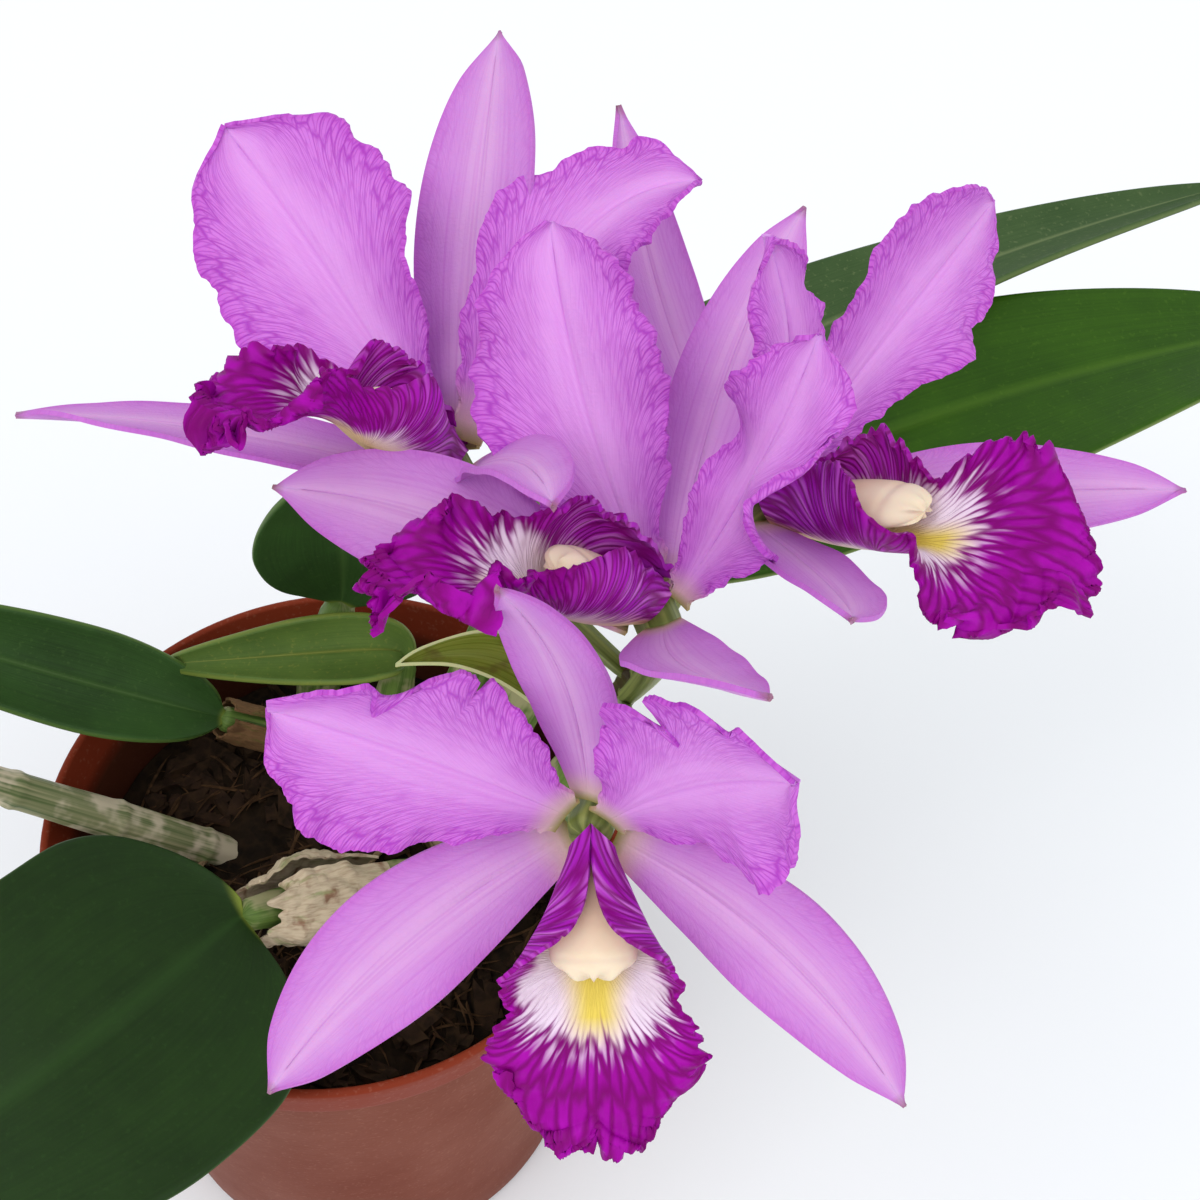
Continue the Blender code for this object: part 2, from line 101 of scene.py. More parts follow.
# name: knot on the rhizome, shoulder, top, foot radius, greatest radius, top radius
PSEUDOBULBS = {
    "pseudobulb_rear": (0, (-0.008, 0.045, 0.128), (-0.002, 0.047, 0.148), 0.0036, 0.0056, 0.0032),
    "pseudobulb_left": (1, (-0.012, 0.028, 0.116), (-0.0295, 0.0245, 0.13), 0.0032, 0.0044, 0.0028),
    "pseudobulb_mid": (2, (0.009, 0.031, 0.128), (0.014, 0.032, 0.148), 0.0034, 0.0048, 0.003),
    "pseudobulb_back": (3, (0.029, 0.031, 0.142), (0.048, 0.053, 0.186), 0.0034, 0.0052, 0.0034),
    "pseudobulb_right": (4, (0.04, 0.022, 0.142), (0.057, 0.036, 0.181), 0.0036, 0.006, 0.0036),
    "pseudobulb_front": (5, (0.01, -0.012, 0.12), (-0.0145, -0.0315, 0.1395), 0.0034, 0.005, 0.0034),
    "pseudobulb_flowering": (6, (0.046, -0.018, 0.152), (0.058, -0.024, 0.2), 0.004, 0.0076, 0.0042),
}
CANE = ((-0.024, 0.005, 0.0985), (-0.044, 0.0, 0.119), (-0.067, -0.0055, 0.144),
        (-0.092, -0.012, 0.169))
CANE_RADII = (0.0038, 0.0052, 0.0042, 0.003)
GROWTH_FACE = (0.3, -1.0, 0.2)

# Old roots: where each leaves its growth, where it ends in the mix, its bow, and its radius.
ROOTS = (
    ((-0.029, 0.0015, 0.1065), (-0.034, -0.0125, 0.105), (-0.036, -0.004, 0.109), 0.0007),
    ((-0.031, -0.001, 0.108), (-0.046, -0.02, 0.1045), (-0.036, -0.016, 0.1105), 0.0006),
    ((-0.01, -0.029, 0.133), (-0.018, -0.044, 0.105), (-0.017, -0.038, 0.123), 0.0005),
    ((0.004, -0.015, 0.117), (-0.002, -0.032, 0.1045), (-0.001, -0.026, 0.113), 0.0006),
    ((0.016, 0.006, 0.11), (0.004, -0.006, 0.105), (0.008, 0.004, 0.112), 0.0008),
)

# name: pseudobulb, its slim radius, added belly and flare, way its mouth opens, how crumpled
SHEATHS = {
    "sheath_front": ("pseudobulb_front", 0.006, 0.0022, 0.0002, (-0.2, 0.3, 1.0), 1.5),
    "sheath_left": ("pseudobulb_left", 0.0052, 0.0, -0.0006, (0.2, -0.3, 1.0), 0.4),
}

# name: pseudobulb, middle control point, tip, width, way its upper side faces, fold (degrees)
LEAVES = {
    "leaf_front": ("pseudobulb_front", (-0.03, -0.075, 0.165), (-0.095, -0.115, 0.15),
                   0.072, (0.15, -0.5, 1.0), 10),
    "leaf_left": ("pseudobulb_left", (-0.07, 0.015, 0.16), (-0.125, 0.025, 0.175),
                  0.028, (0.2, -0.5, 1.0), 35),
    "leaf_cane": ("cane_left", (-0.12, -0.02, 0.205), (-0.15, -0.03, 0.255),
                  0.034, (0.8, -0.25, 0.7), 30),
    "leaf_mid": ("pseudobulb_mid", (0.0, 0.025, 0.157), (-0.044, 0.03, 0.142),
                 0.02, (-0.1, -0.6, 1.0), 40),
    "leaf_rear": ("pseudobulb_rear", (0.0, 0.05, 0.18), (0.005, 0.03, 0.215),
                  0.04, (0.0, -1.0, 0.15), 20),
    "leaf_right_upper": ("pseudobulb_back", (0.09, 0.07, 0.225), (0.205, 0.14, 0.205),
                         0.036, (-0.1, 0.15, 1.0), 20),
    "leaf_right_lower": ("pseudobulb_right", (0.135, 0.06, 0.222), (0.225, 0.105, 0.195),
                         0.054, (0.0, -0.1, 1.0), 10),
}

# The share of its greatest half-width that a side has along its blade: at the base, where it is
# fullest, and how the two ends round.
LEAF_FORM = (0.1, 0.5, 1.15, 0.75)
SEPAL_FORM = (0.36, 0.5, 1.0, 0.7)
PETAL_FORM = (0.18, 0.58, 1.5, 0.6)
SPATHE_FORM = (0.42, 0.35, 1.0, 0.95)

# The usual flower: each row takes its own share of these lengths and depths of ruffle.
SEPAL_LENGTH = 0.06
PETAL_LENGTH = 0.054
SEPAL_RUFFLE = 0.0004
PETAL_RUFFLE = 0.0018


# A sepal's or petal's row: clock angle and lean forward of its tip, share of the usual length,
# greatest half-width (mm) of its anticlockwise and its clockwise side; how its middle bends forward
# and sweeps round the clock, and how far out that is; its turn about its own length, all along,
# growing toward the tip, and at its middle only; its share of the usual ruffle; then where a side
# (-1 anticlockwise, 1 clockwise) is drawn in, how deep (mm) and over what share of the length.
def tepal_row(clock, lean, share, left, right, bend=0, sweep=0, reach=0.55, turn=0, twist=0,
              wring=0, ruffle=1.0, nicks=()):
    return dict(clock=clock, lean=lean, share=share, left=left, right=right, bend=bend,
                sweep=sweep, reach=reach, turn=turn, twist=twist, wring=wring, ruffle=ruffle,
                nicks=nicks)


# A lip's row: clock angle, lean and length (mm); how far its front nods and the whole turns about
# its length (degrees); how closed its tube stays; the breadth of its front; the strength of its
# ruffles and front notch; how much wider one side is; how far its waist draws in; the column's
# share of its length; and how far its front is turned (degrees).
def lip_row(clock, lean, length, nod, roll, closed, breadth, ruffle, notch, uneven=0.0,
            waist=0.05, column=0.4, spin=0.0):
    return dict(clock=clock, lean=lean, length=length, nod=nod, roll=roll, closed=closed,
                breadth=breadth, ruffle=ruffle, notch=notch, uneven=uneven, waist=waist,
                column=column, spin=spin)


FLOWERS = {
    "a": dict(
        place=(0.035, -0.034, 0.289), azimuth=-110, elevation=65, roll=-85,
        sepal_dorsal=tepal_row(-12, 25, 1.2, 10, 10, bend=8, sweep=5),
        petal_left=tepal_row(-55, 40, 1.15, 18, 18, bend=-8, sweep=5, turn=-45, twist=30),
        petal_right=tepal_row(30, 15, 1.0, 14, 11, bend=15, sweep=-15, reach=0.8, turn=45,
                              twist=-45),
        sepal_left=tepal_row(-120, 30, 1.0, 8, 8, bend=5, twist=30),
        sepal_right=tepal_row(120, 20, 0.85, 6, 6, bend=8, sweep=-10, reach=0.7, twist=-30),
        lip=lip_row(180, 65, 42, 54, -8, 1.0, 0.72, 1.7, 0.0, uneven=0.14, waist=0.15)),
    "b": dict(
        place=(0.065, -0.057, 0.287), azimuth=-130, elevation=60, roll=-90,
        sepal_dorsal=tepal_row(-5, 30, 1.05, 7, 8, bend=4, sweep=-8, twist=45),
        petal_left=tepal_row(-40, 60, 1.0, 15, 13, bend=7, sweep=-15),
        petal_right=tepal_row(60, 45, 0.9, 9, 11, bend=-8, turn=75, wring=-60,
                              nicks=((0.62, 1, 5, 0.15),)),
        sepal_left=tepal_row(-125, 35, 0.9, 10, 9, bend=15, twist=-60),
        sepal_right=tepal_row(115, 15, 0.9, 7, 7, sweep=15, twist=-45),
        lip=lip_row(180, 45, 42, 28, -19, 0.95, 0.76, 1.6, 0.0, uneven=0.15, waist=0.15)),
    "c": dict(
        place=(0.081, -0.035, 0.284), azimuth=100, elevation=50, roll=55,
        sepal_dorsal=tepal_row(10, 10, 1.1, 7, 8, bend=-20, sweep=10, turn=-15),
        petal_left=tepal_row(-50, 45, 0.9, 9, 7, bend=15, sweep=-10, turn=-45,
                             nicks=((0.78, 1, 3, 0.06),)),
        petal_right=tepal_row(60, 45, 1.1, 13, 13, reach=0.8, twist=45),
        sepal_left=tepal_row(-120, 25, 0.9, 7, 8, sweep=-15, turn=30),
        sepal_right=tepal_row(125, 35, 1.1, 8, 8, sweep=-5, turn=15),
        lip=lip_row(180, 50, 46, 26, 14, 0.4, 1.14, 1.7, 0.3, waist=0.34, column=0.5, spin=24)),
    "d": dict(
        place=(0.058, -0.08, 0.266), azimuth=-15, elevation=20, roll=-15,
        sepal_dorsal=tepal_row(0, 20, 0.85, 6, 7, bend=-20, sweep=5, turn=-10, twist=15),
        petal_left=tepal_row(-45, 25, 0.92, 17, 16, sweep=5, turn=20, twist=-20,
                             nicks=((0.52, 1, 4, 0.012), (0.73, 1, 9, 0.05))),
        petal_right=tepal_row(55, 25, 0.85, 16, 15, bend=-10, sweep=-5, turn=5, twist=-15,
                              ruffle=1.5, nicks=((0.6, -1, 8, 0.03), (0.85, -1, 4, 0.03))),
        sepal_left=tepal_row(-125, 25, 1.0, 9, 10, sweep=15, turn=15),
        sepal_right=tepal_row(130, 10, 0.95, 9, 8, bend=-10, sweep=-12, turn=-10, twist=-15),
        lip=lip_row(177, 30, 42, 12, -17, 0.0, 1.0, 1.0, 1.0)),
}


# ---- finishes ----
def tint(code):
    """A colour from its sRGB hex code, made linear, with full alpha."""
    shares = [int(code[i:i + 2], 16) / 255.0 for i in (1, 3, 5)]
    return (*[c / 12.92 if c <= 0.04045 else ((c + 0.055) / 1.055) ** 2.4 for c in shares], 1.0)


# Kinds of node, each with the option that it is used with.
RANGE, RAMP, NOISE, CELLS, JOIN, SPLIT, VECTOR = [("ShaderNode" + kind, {}) for kind in (
    "MapRange", "ValToRGB", "TexNoise", "TexVoronoi", "CombineXYZ", "SeparateXYZ", "VectorMath")]
SMOOTH = ("ShaderNodeMapRange", {"interpolation_type": "SMOOTHSTEP"})
MIX = ("ShaderNodeMix", {"data_type": "RGBA"})
TIMES, TIMES_PLUS, PLUS, MINUS, SIZE, SIGN, ROOT, ANGLE, LARGER = [
    ("ShaderNodeMath", {"operation": work}) for work in (
        "MULTIPLY", "MULTIPLY_ADD", "ADD", "SUBTRACT", "ABSOLUTE", "SIGN", "SQRT", "ARCTAN2",
        "MAXIMUM")]
TEX_PLACE, UV_PLACE, MAPPING, BUMP = [("ShaderNode" + kind, {}) for kind in (
    "TexCoord", "UVMap", "Mapping", "Bump")]


def add_node(tree, kind, *feeds, out=0, stops=(), **settings):
    """Adds a node: settings are its options, and feeds go to its sockets in their order, each
    a value, a hex colour or another node's output. Gives back the output it is wanted for."""
    kind_name, usual = kind
    node = tree.nodes.new(kind_name)
    for name, value in {**usual, **settings}.items():
        setattr(node, name, value)
    for place, (position, code) in enumerate(stops):
        ramp = node.color_ramp.elements
        stop = ramp[place] if place < 2 else ramp.new(position)
        stop.position = position
        stop.color = tint(code)
    for socket, feed in zip([socket for socket in node.inputs if socket.enabled], feeds):
        if isinstance(feed, bpy.types.NodeSocket):
            tree.links.new(feed, socket)
        elif feed is not None:
            socket.default_value = tint(feed) if isinstance(feed, str) else feed
    if isinstance(out, str):
        return node.outputs[out]
    return [socket for socket in node.outputs if socket.enabled][out]


def new_finish(name, **sockets):
    """A material, sockets being its shader's fixed values, and the function that adds to it."""
    made = bpy.data.materials.new(name)
    made.use_nodes = True
    shader = made.node_tree.nodes["Principled BSDF"]
    for socket, value in sockets.items():
        shader.inputs[socket.replace("_", " ")].default_value = value
    return made, partial(add_node, made.node_tree)


def cover(made, color, raised, strength, depth_mm, roughness=None):
    """Gives a finish its colour, its relief and, where it varies, its roughness."""
    tree = made.node_tree
    shader = tree.nodes["Principled BSDF"]
    tree.links.new(color, shader.inputs["Base Color"])
    relief = add_node(tree, BUMP, strength, depth_mm * MM, None, raised)
    tree.links.new(relief, shader.inputs["Normal"])
    if roughness:
        tree.links.new(roughness, shader.inputs["Roughness"])
    return made


def solid_place(add):
    """Where a point is in the solid piece itself, in metres."""
    return add(TEX_PLACE, out="Object")


def surface_grid(add):
    """The sheet's own directions: across (-1 to 1), its size (0 at the midline), along (0 to 1)."""
    u, v = [add(SPLIT, add(UV_PLACE, uv_map="UVMap"), out=axis) for axis in (0, 1)]
    across = add(TIMES_PLUS, u, 2.0, -1.0)
    return (across, add(SIZE, across), v)


def grain_of(add, across, along, detail=3.0, scale=1.0):
    """Lengthwise streaks; across and along are how many fall over the piece's width and length."""
    grid_across, _, grid_along = surface_grid(add)
    strip = add(JOIN, add(TIMES, grid_across, across), add(TIMES, grid_along, along))
    return add(NOISE, strip, scale, detail)


def vein_net(add, along, across, fine, wobble):
    """Thin lines that fork and meet: the borders of long cells. 1 on a line, 0 off it."""
    grid = add(JOIN, along, across)
    drift = add(NOISE, grid, 1.3, 2.0, out="Color")
    drift = add(VECTOR, drift, (0.5,) * 3, operation="SUBTRACT")
    grid = add(VECTOR, drift, (wobble,) * 3, grid, operation="MULTIPLY_ADD")
    border = add(CELLS, grid, 1.0, None, None, None, 0.8, feature="DISTANCE_TO_EDGE",
                 voronoi_dimensions="2D")
    return add(SMOOTH, border, 0.0, fine, 1.0, 0.0)


def petal_finish(name, veining, streaking, bruised, tones):
    """Cattleya petal or sepal, a thin living tissue: satin, faintly velvety, paler along the
    middle, with deeper veins that run out to the margins and a greenish base."""
    pale, body, margin, vein = tones
    made, add = new_finish(name, Roughness=0.52, Specular_IOR_Level=0.12, Subsurface_Weight=0.1,
                           Subsurface_Scale=0.0012)
    across, off, along = surface_grid(add)
    # A vein leaves the midline nearly lengthways and reaches the margin nearly square to it.
    outward = add(TIMES, off, add(MINUS, 2.0, off))
    rank = add(TIMES_PLUS, outward, -0.55, along)
    side = add(SIGN, across)
    rank = add(TIMES_PLUS, side, 7.3, rank)
    coarse = vein_net(add, add(TIMES, rank, 34.0), add(TIMES, off, 2.4), 0.13, 0.35)
    thread = vein_net(add, add(TIMES, rank, 90.0), add(TIMES, off, 5.0), 0.2, 0.45)
    place = solid_place(add)
    cloud = add(NOISE, place, 130.0, 3.0)
    crystal = add(NOISE, place, 1900.0, 1.0)
    edge = add(TIMES_PLUS, cloud, 0.34, add(MINUS, off, 0.17))
    color = add(MIX, add(SMOOTH, edge, 0.0, 0.7), pale, body)
    color = add(MIX, add(SMOOTH, edge, 0.62, 1.2), color, margin)
    # Faint stripes run the length of the blade.
    stripe = add(RANGE, grain_of(add, 13.0, 1.2), 0.5, 0.68, 0.0, streaking)
    color = add(MIX, stripe, color, margin)
    lines = add(LARGER, coarse, add(TIMES, thread, 0.65))
    lines = add(TIMES, lines, add(SMOOTH, edge, 0.05, 0.95, 0.12 * veining, veining))
    color = add(MIX, lines, color, vein)
    # A fold line runs up the middle, and the claw is cream turning green where it joins.
    color = add(MIX, add(RANGE, off, 0.0, 0.04, 0.3, 0.0), color, margin)
    color = add(MIX, add(SMOOTH, along, 0.0, 0.13, 1.0, 0.0), color, "#DDBFB4")
    color = add(MIX, add(RANGE, along, 0.0, 0.035, 1.0, 0.0), color, "#9A9350")
    # The very tip is bruised brown.
    bruise = add(TIMES, add(RANGE, along, 0.965, 1.0, 0.0, bruised), cloud)
    color = add(MIX, bruise, color, "#8E5E58")
    raised = add(TIMES_PLUS, lines, -0.8, add(TIMES, crystal, 0.5))
    return cover(made, color, raised, 0.4, 0.4)


def lip_finish(name, inner):
    """Cattleya lip, a velvety tissue: deep magenta with radiating veins and, inside, a white and
    yellow throat; outside it is plainer, with a cream keel."""
    made, add = new_finish(name, Roughness=0.46, Specular_IOR_Level=0.08)
    across, off, along = surface_grid(add)
    # Veins run out like a fan from the mouth of the tube.
    ahead = add(MINUS, along, 0.34)
    aside = add(TIMES, across, 0.27)
    angle = add(ANGLE, aside, ahead)
    reach = add(PLUS, add(TIMES, aside, aside), add(TIMES, ahead, ahead))
    reach = add(ROOT, reach)
    lines = vein_net(add, add(TIMES, angle, 15.0), add(TIMES, reach, 6.0), 0.3, 0.35)
    ray = add(NOISE, add(JOIN, add(TIMES, angle, 13.0), add(TIMES, reach, 3.0)), 1.0, 2.0)
    cloud = add(NOISE, solid_place(add), 180.0, 3.0)
    ragged = add(TIMES_PLUS, ray, 0.24, add(TIMES, lines, 0.07))
    # Front lobe: white gives way to magenta along the rays.
    front = add(SMOOTH, add(PLUS, reach, ragged), 0.38, 0.5)
    front = add(TIMES, front, add(RANGE, along, 0.36, 0.46))
    # Side lobes: magenta toward their margins, nearly to the keel round the column.
    low, high = (0.62, 0.98) if inner else (0.44, 0.24)
    limit = add(SMOOTH, along, 0.3, 0.5, low, high)
    inset = add(PLUS, off, add(TIMES_PLUS, cloud, 0.35, ragged))
    wings = add(SMOOTH, add(MINUS, inset, limit), 0.1, 0.32)
    if not inner:
        front = add(SMOOTH, add(PLUS, along, ragged), 0.6, 0.78)
    painted = add(LARGER, front, wings)
    deep = add(MIX, add(RANGE, cloud, 0.4, 0.7), "#980392", "#AE0CAE")
    # Round the column the lobes are a lighter violet, streaked with pale veins.
    lobe = add(MIX, add(RANGE, ray, 0.48, 0.7), "#A822B2", "#D57CDA")
    deep = add(MIX, add(RANGE, along, 0.26, 0.46), lobe, deep)
    deep = add(MIX, add(TIMES, lines, 0.8), deep, "#780262")
    color = add(MIX, add(RANGE, along, 0.08, 0.4), "#D8C07C", "#F0DCEF")
    ends = add(TIMES, add(RANGE, along, 0.2, 0.42), add(RANGE, along, 0.54, 0.66, 1.0, 0.0))
    gold = add(TIMES, add(SMOOTH, off, 0.06, 0.42, 1.0, 0.0), ends)
    if inner:
        color = add(MIX, gold, color, "#EDD560")
    else:
        color = add(MIX, add(RANGE, off, 0.1, 0.34), "#DCC58C", color)
    color = add(MIX, painted, color, deep)
    raised = add(TIMES_PLUS, lines, -0.8, cloud)
    return cover(made, color, raised, 0.45, 0.5)


def column_finish():
    """Cattleya column, a fleshy waxy tissue: cream flushed with pink, with a soft gloss."""
    made, add = new_finish("column_waxy_tissue", Roughness=0.42, Specular_IOR_Level=0.25,
                           Subsurface_Weight=0.12, Subsurface_Scale=0.002)
    along = surface_grid(add)[2]
    cloud = add(NOISE, solid_place(add), 320.0, 2.0)
    tone = add(TIMES_PLUS, cloud, 0.3, along)
    color = add(RAMP, tone, stops=((0.12, "#B09A62"), (1.05, "#F4E2C4"), (0.34, "#D0A68E"),
                                   (0.74, "#EDD0B0")))
    return cover(made, color, cloud, 0.15, 0.3)


def leaf_finish(name, upper, lower, rib, rim):
    """Cattleya leaf, thick and leathery: deep green with a dull waxy bloom, fine lengthwise
    grain, a paler fold along the middle and a thin pale rim."""
    made, add = new_finish(name, Specular_IOR_Level=0.14)
    _, off, along = surface_grid(add)
    grain = grain_of(add, 42.0, 3.0)
    place = solid_place(add)
    cloud = add(NOISE, place, 60.0, 4.0, 0.6)
    speck = add(NOISE, place, 900.0, 2.0)
    mottle = add(TIMES_PLUS, grain, 0.35, add(TIMES, cloud, 0.65))
    color = add(MIX, add(RANGE, mottle, 0.36, 0.66), upper, lower)
    color = add(MIX, add(RANGE, speck, 0.6, 0.74, 0.0, 0.3), color, rib)
    color = add(MIX, add(RANGE, off, 0.01, 0.09, 0.5, 0.0), color, rib)
    color = add(MIX, add(RANGE, off, 0.985, 1.0, 0.0, 0.6), color, rim)
    color = add(MIX, add(SMOOTH, along, 0.01, 0.08, 1.0, 0.0), color, "#7C8A35")
    raised = add(TIMES_PLUS, grain, 0.6, add(TIMES, speck, 0.3))
    return cover(made, color, raised, 0.22, 0.4, add(RANGE, cloud, 0.3, 0.7, 0.38, 0.52))


def bulb_finish(name, skin, shade, dry, bare):
    """Cattleya pseudobulb, firm and waxy: green with lengthwise furrows, wrapped in patches of
    dry silvery skin; bare is how much of it shows between the patches."""
    made, add = new_finish(name, Roughness=0.5, Specular_IOR_Level=0.2)
    grain = grain_of(add, 14.0, 2.0, 2.0)
    patch = add(NOISE, solid_place(add), 95.0, 3.0, 0.6)
    color = add(MIX, add(RANGE, grain, 0.35, 0.65), shade, skin)
    flaked = add(TIMES_PLUS, grain, 0.22, add(TIMES, patch, 0.88))
    color = add(MIX, add(SMOOTH, flaked, bare, bare + 0.16), color, dry)
    return cover(made, color, flaked, 0.3, 0.5)


def sheath_finish(name, paper, streak, stain_and_shade):
    """Dry bract, a papery skin: bleached beige, green streaked, with brown stains."""
    made, add = new_finish(name, Roughness=0.78, Specular_IOR_Level=0.15)
    grain = grain_of(add, 9.0, 2.2, 4.0)
    fibre = grain_of(add, 54.0, 9.0, 2.0)
    blot = add(NOISE, solid_place(add), 190.0, 3.0)
    color = add(MIX, add(SMOOTH, grain, 0.56, 0.7, 0.0, 0.7), paper, streak)
    color = add(MIX, add(SMOOTH, blot, 0.56, 0.72, 0.0, 0.8), color, stain_and_shade)
    color = add(MIX, add(RANGE, fibre, 0.45, 0.75, 0.0, 0.45), color, stain_and_shade)
    return cover(made, color, fibre, 0.5, 0.5)


def stalk_finish(name, *tones):
    """Flower stem or stalk, a ribbed herbaceous tissue: satin, its tones running lengthwise."""
    made, add = new_finish(name, Roughness=0.44, Specular_IOR_Level=0.2)
    dark, light, middle = tones
    grain = grain_of(add, 7.0, 1.5, 2.0)
    color = add(RAMP, grain, stops=((0.3, dark), (0.66, light), (0.5, middle)))
    return cover(made, color, grain, 0.4, 0.5)


def spathe_finish():
    """Green spathe, a thin translucent bract: yellow green, veined lengthwise, with brown blots of
    painted shade.
    """
    made, add = new_finish("spathe_green_bract", Roughness=0.5, Specular_IOR_Level=0.2,
                           Subsurface_Weight=0.1, Subsurface_Scale=0.001)
    off = surface_grid(add)[1]
    grain = grain_of(add, 14.0, 1.5, 2.0)
    blot = add(NOISE, solid_place(add), 190.0, 3.0)
    color = add(MIX, add(RANGE, grain, 0.35, 0.65), "#66731A", "#86903A")
    # The brown blots are painted shade: the stem and its shadow seen through the thin bract.
    color = add(MIX, add(RANGE, blot, 0.52, 0.7, 0.0, 0.8), color, "#5A4A20")
    color = add(MIX, add(RANGE, off, 0.93, 0.99), color, "#B9BE86")
    return cover(made, color, grain, 0.4, 0.4)


def pot_finish():
    """Moulded polypropylene nursery pot in terracotta brown: dull, with a fine eggshell grain,
    faint turning marks, lime dust below the rim and a redder, rubbed rim."""
    made, add = new_finish("pot_polypropylene_terracotta", IOR=1.49, Specular_IOR_Level=0.08)
    place = solid_place(add)
    height = add(SPLIT, place, out="Z")
    cloud = add(NOISE, place, 28.0, 5.0, 0.6)
    dust = add(NOISE, place, 900.0, 2.0)
    color = add(MIX, add(RANGE, cloud, 0.35, 0.7), "#7C3D27", "#713421")
    shelf = POT_HEIGHT - RIM_DEPTH
    color = add(MIX, add(RANGE, height, shelf - MM, shelf + MM), color, "#80321D")
    color = add(MIX, add(RANGE, dust, 0.58, 0.7, 0.0, 0.12), color, "#B98B76")
    # Painted shade darkens the inside wall from just below the lip down to the mix.
    slope = (BODY_RADIUS - BASE_RADIUS) / shelf
    level = add(VECTOR, place, (1.0, 1.0, 0.0), operation="MULTIPLY")
    level = add(VECTOR, level, operation="LENGTH", out="Value")
    level = add(TIMES_PLUS, height, -slope, level)
    inside = BASE_RADIUS - POT_WALL
    inner_wall_mask = add(RANGE, level, inside + 0.5 * MM, inside + 1.2 * MM, 1.0, 0.0)
    below = add(RANGE, height, POT_HEIGHT - 12 * MM, POT_HEIGHT - 3 * MM, 0.75, 0.0)
    stain_and_shade = add(TIMES, inner_wall_mask, below)
    color = add(MIX, stain_and_shade, color, "#2A1810")
    marks = add(NOISE, add(MAPPING, place, None, None, (6.0, 6.0, 700.0)), 1.0, 1.0)
    raised = add(TIMES_PLUS, marks, 0.35, add(TIMES, dust, 0.65))
    return cover(made, color, raised, 0.18, 0.3, add(RANGE, cloud, 0.3, 0.7, 0.42, 0.56))


def mix_finish(name, dark, light, fleck):
    """Bark mix, damp composted bark: near black brown, rough, with paler torn faces."""
    made, add = new_finish(name, Roughness=0.9, Specular_IOR_Level=0.1)
    place = solid_place(add)
    lump = add(NOISE, place, 110.0, 5.0, 0.65)
    crumb = add(CELLS, place, 420.0)
    color = add(MIX, add(RANGE, lump, 0.38, 0.66), dark, light)
    color = add(MIX, add(RANGE, crumb, 0.45, 0.75, 0.0, 0.5), color, fleck)
    return cover(made, color, lump, 0.8, 1.0)


# ---- shaping ----
def new_shape(make, **sizes):
    """A new primitive from its operator, with nothing else selected."""
    bpy.ops.object.select_all(action="DESELECT")
    make(**sizes)
    return bpy.context.active_object


def settle(piece, name, finish, slot, *nodes, crease=60):
    """Names a finished piece, gives it its finish, and hides the part's nodes that it stands for."""
    piece.name = piece.data.name = name
    if not piece.data.materials:
        piece.data.materials.append(finish)
    bpy.ops.object.select_all(action="DESELECT")
    piece.select_set(True)
    bpy.context.view_layer.objects.active = piece
    bpy.ops.object.shade_smooth_by_angle(angle=radians(crease))
    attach(piece, "root")
    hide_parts(*nodes)
    return piece


def thicken(piece, wall, round_edges=False, back_finish=0):
    shell = piece.modifiers.new("wall", "SOLIDIFY")
    shell.material_offset = back_finish
    shell.thickness = wall
    shell.offset = 0.0
    shell.use_even_offset = False
    bpy.ops.object.modifier_apply(modifier=shell.name)
    if round_edges:
        soft = piece.modifiers.new("soft_edges", "SUBSURF")
        soft.levels = soft.render_levels = 1
        bpy.ops.object.modifier_apply(modifier=soft.name)


def sheet(across, along, place):
    """A flat grid shaped point by point: place(s, t), s from -1 to 1 and t from 0 to 1."""
    piece = new_shape(bpy.ops.mesh.primitive_grid_add, x_subdivisions=across,
                      y_subdivisions=along, size=2.0)
    for vert in piece.data.vertices:
        vert.co = place(vert.co.x, 0.5 * (vert.co.y + 1.0))
    return piece


def spindle(around, along, place):
    """A ball shaped ring by ring: place(turn, t), turn in radians and t from pole to pole."""
    piece = new_shape(bpy.ops.mesh.primitive_uv_sphere_add, segments=around, ring_count=along,
                      radius=1.0)
    for vert in piece.data.vertices:
        x, y, z = vert.co
        vert.co = place(atan2(y, x), 1.0 - acos(max(-1.0, min(1.0, z))) / pi)
    return piece


def bezier(points, t):
    """A point on the curve that a few control points steer."""
    points = [Vector(p) for p in points]
    while len(points) > 1:
        points = [a.lerp(b, t) for a, b in zip(points, points[1:])]
    return points[0]


def smooth_row(values, t):
    """A smooth line through evenly spaced values."""
    span = max(0.0, min(1.0, t)) * (len(values) - 1)
    index = min(int(span), len(values) - 2)
    f = span - index
    a, b, c, d = (values[min(max(index + step, 0), len(values) - 1)] for step in (-1, 0, 1, 2))
    return b + 0.5 * f * (c - a + f * (2 * a - 5 * b + 4 * c - d + f * (3 * b - a - 3 * c + d)))


def spine_frame(points, face, t, turn):
    """Place, side and face directions on the curve, turned about it by an angle."""
    step = 0.01
    here = bezier(points, t)
    along = (bezier(points, min(1.0, t + step)) - bezier(points, max(0.0, t - step))).normalized()
    normal = (face - along * face.dot(along)).normalized()
    normal = Matrix.Rotation(turn, 3, along) @ normal
    return here, along.cross(normal), normal


def round_point(path, face, t, turn, width):
    """A point on a round stem, at an angle about its path."""
    here, side, normal = spine_frame(path, Vector(face), t, 0.0)
    return here + (side * cos(turn) + normal * sin(turn)) * width


def closed_ends(t, steepness):
    """The share of its width that a stem has at t: 1, but 0 at its two rounded ends."""
    return min(1.0, steepness * sin(pi * t)) ** 0.5


def folded_point(path, face, s, t, half, fold, lift):
    """A point on a blade folded along its middle by an angle (degrees), and a lift off it."""
    here, side, normal = spine_frame(path, Vector(face), t, 0.0)
    angle = radians(fold) * abs(s) ** 0.6
    rise = half * abs(s) * sin(angle) + lift
    return here + half * s * cos(angle) * side + rise * normal


def outline(form, t):
    """The share of the full half-width that a blade has at t, from its base to its tip."""
    base, fullest, rise, fall = form
    if t < fullest:
        return base + (1.0 - base) * sin(0.5 * pi * t / fullest) ** rise
    return max(0.02, cos(0.5 * pi * (t - fullest) / (1.0 - fullest)) ** fall)


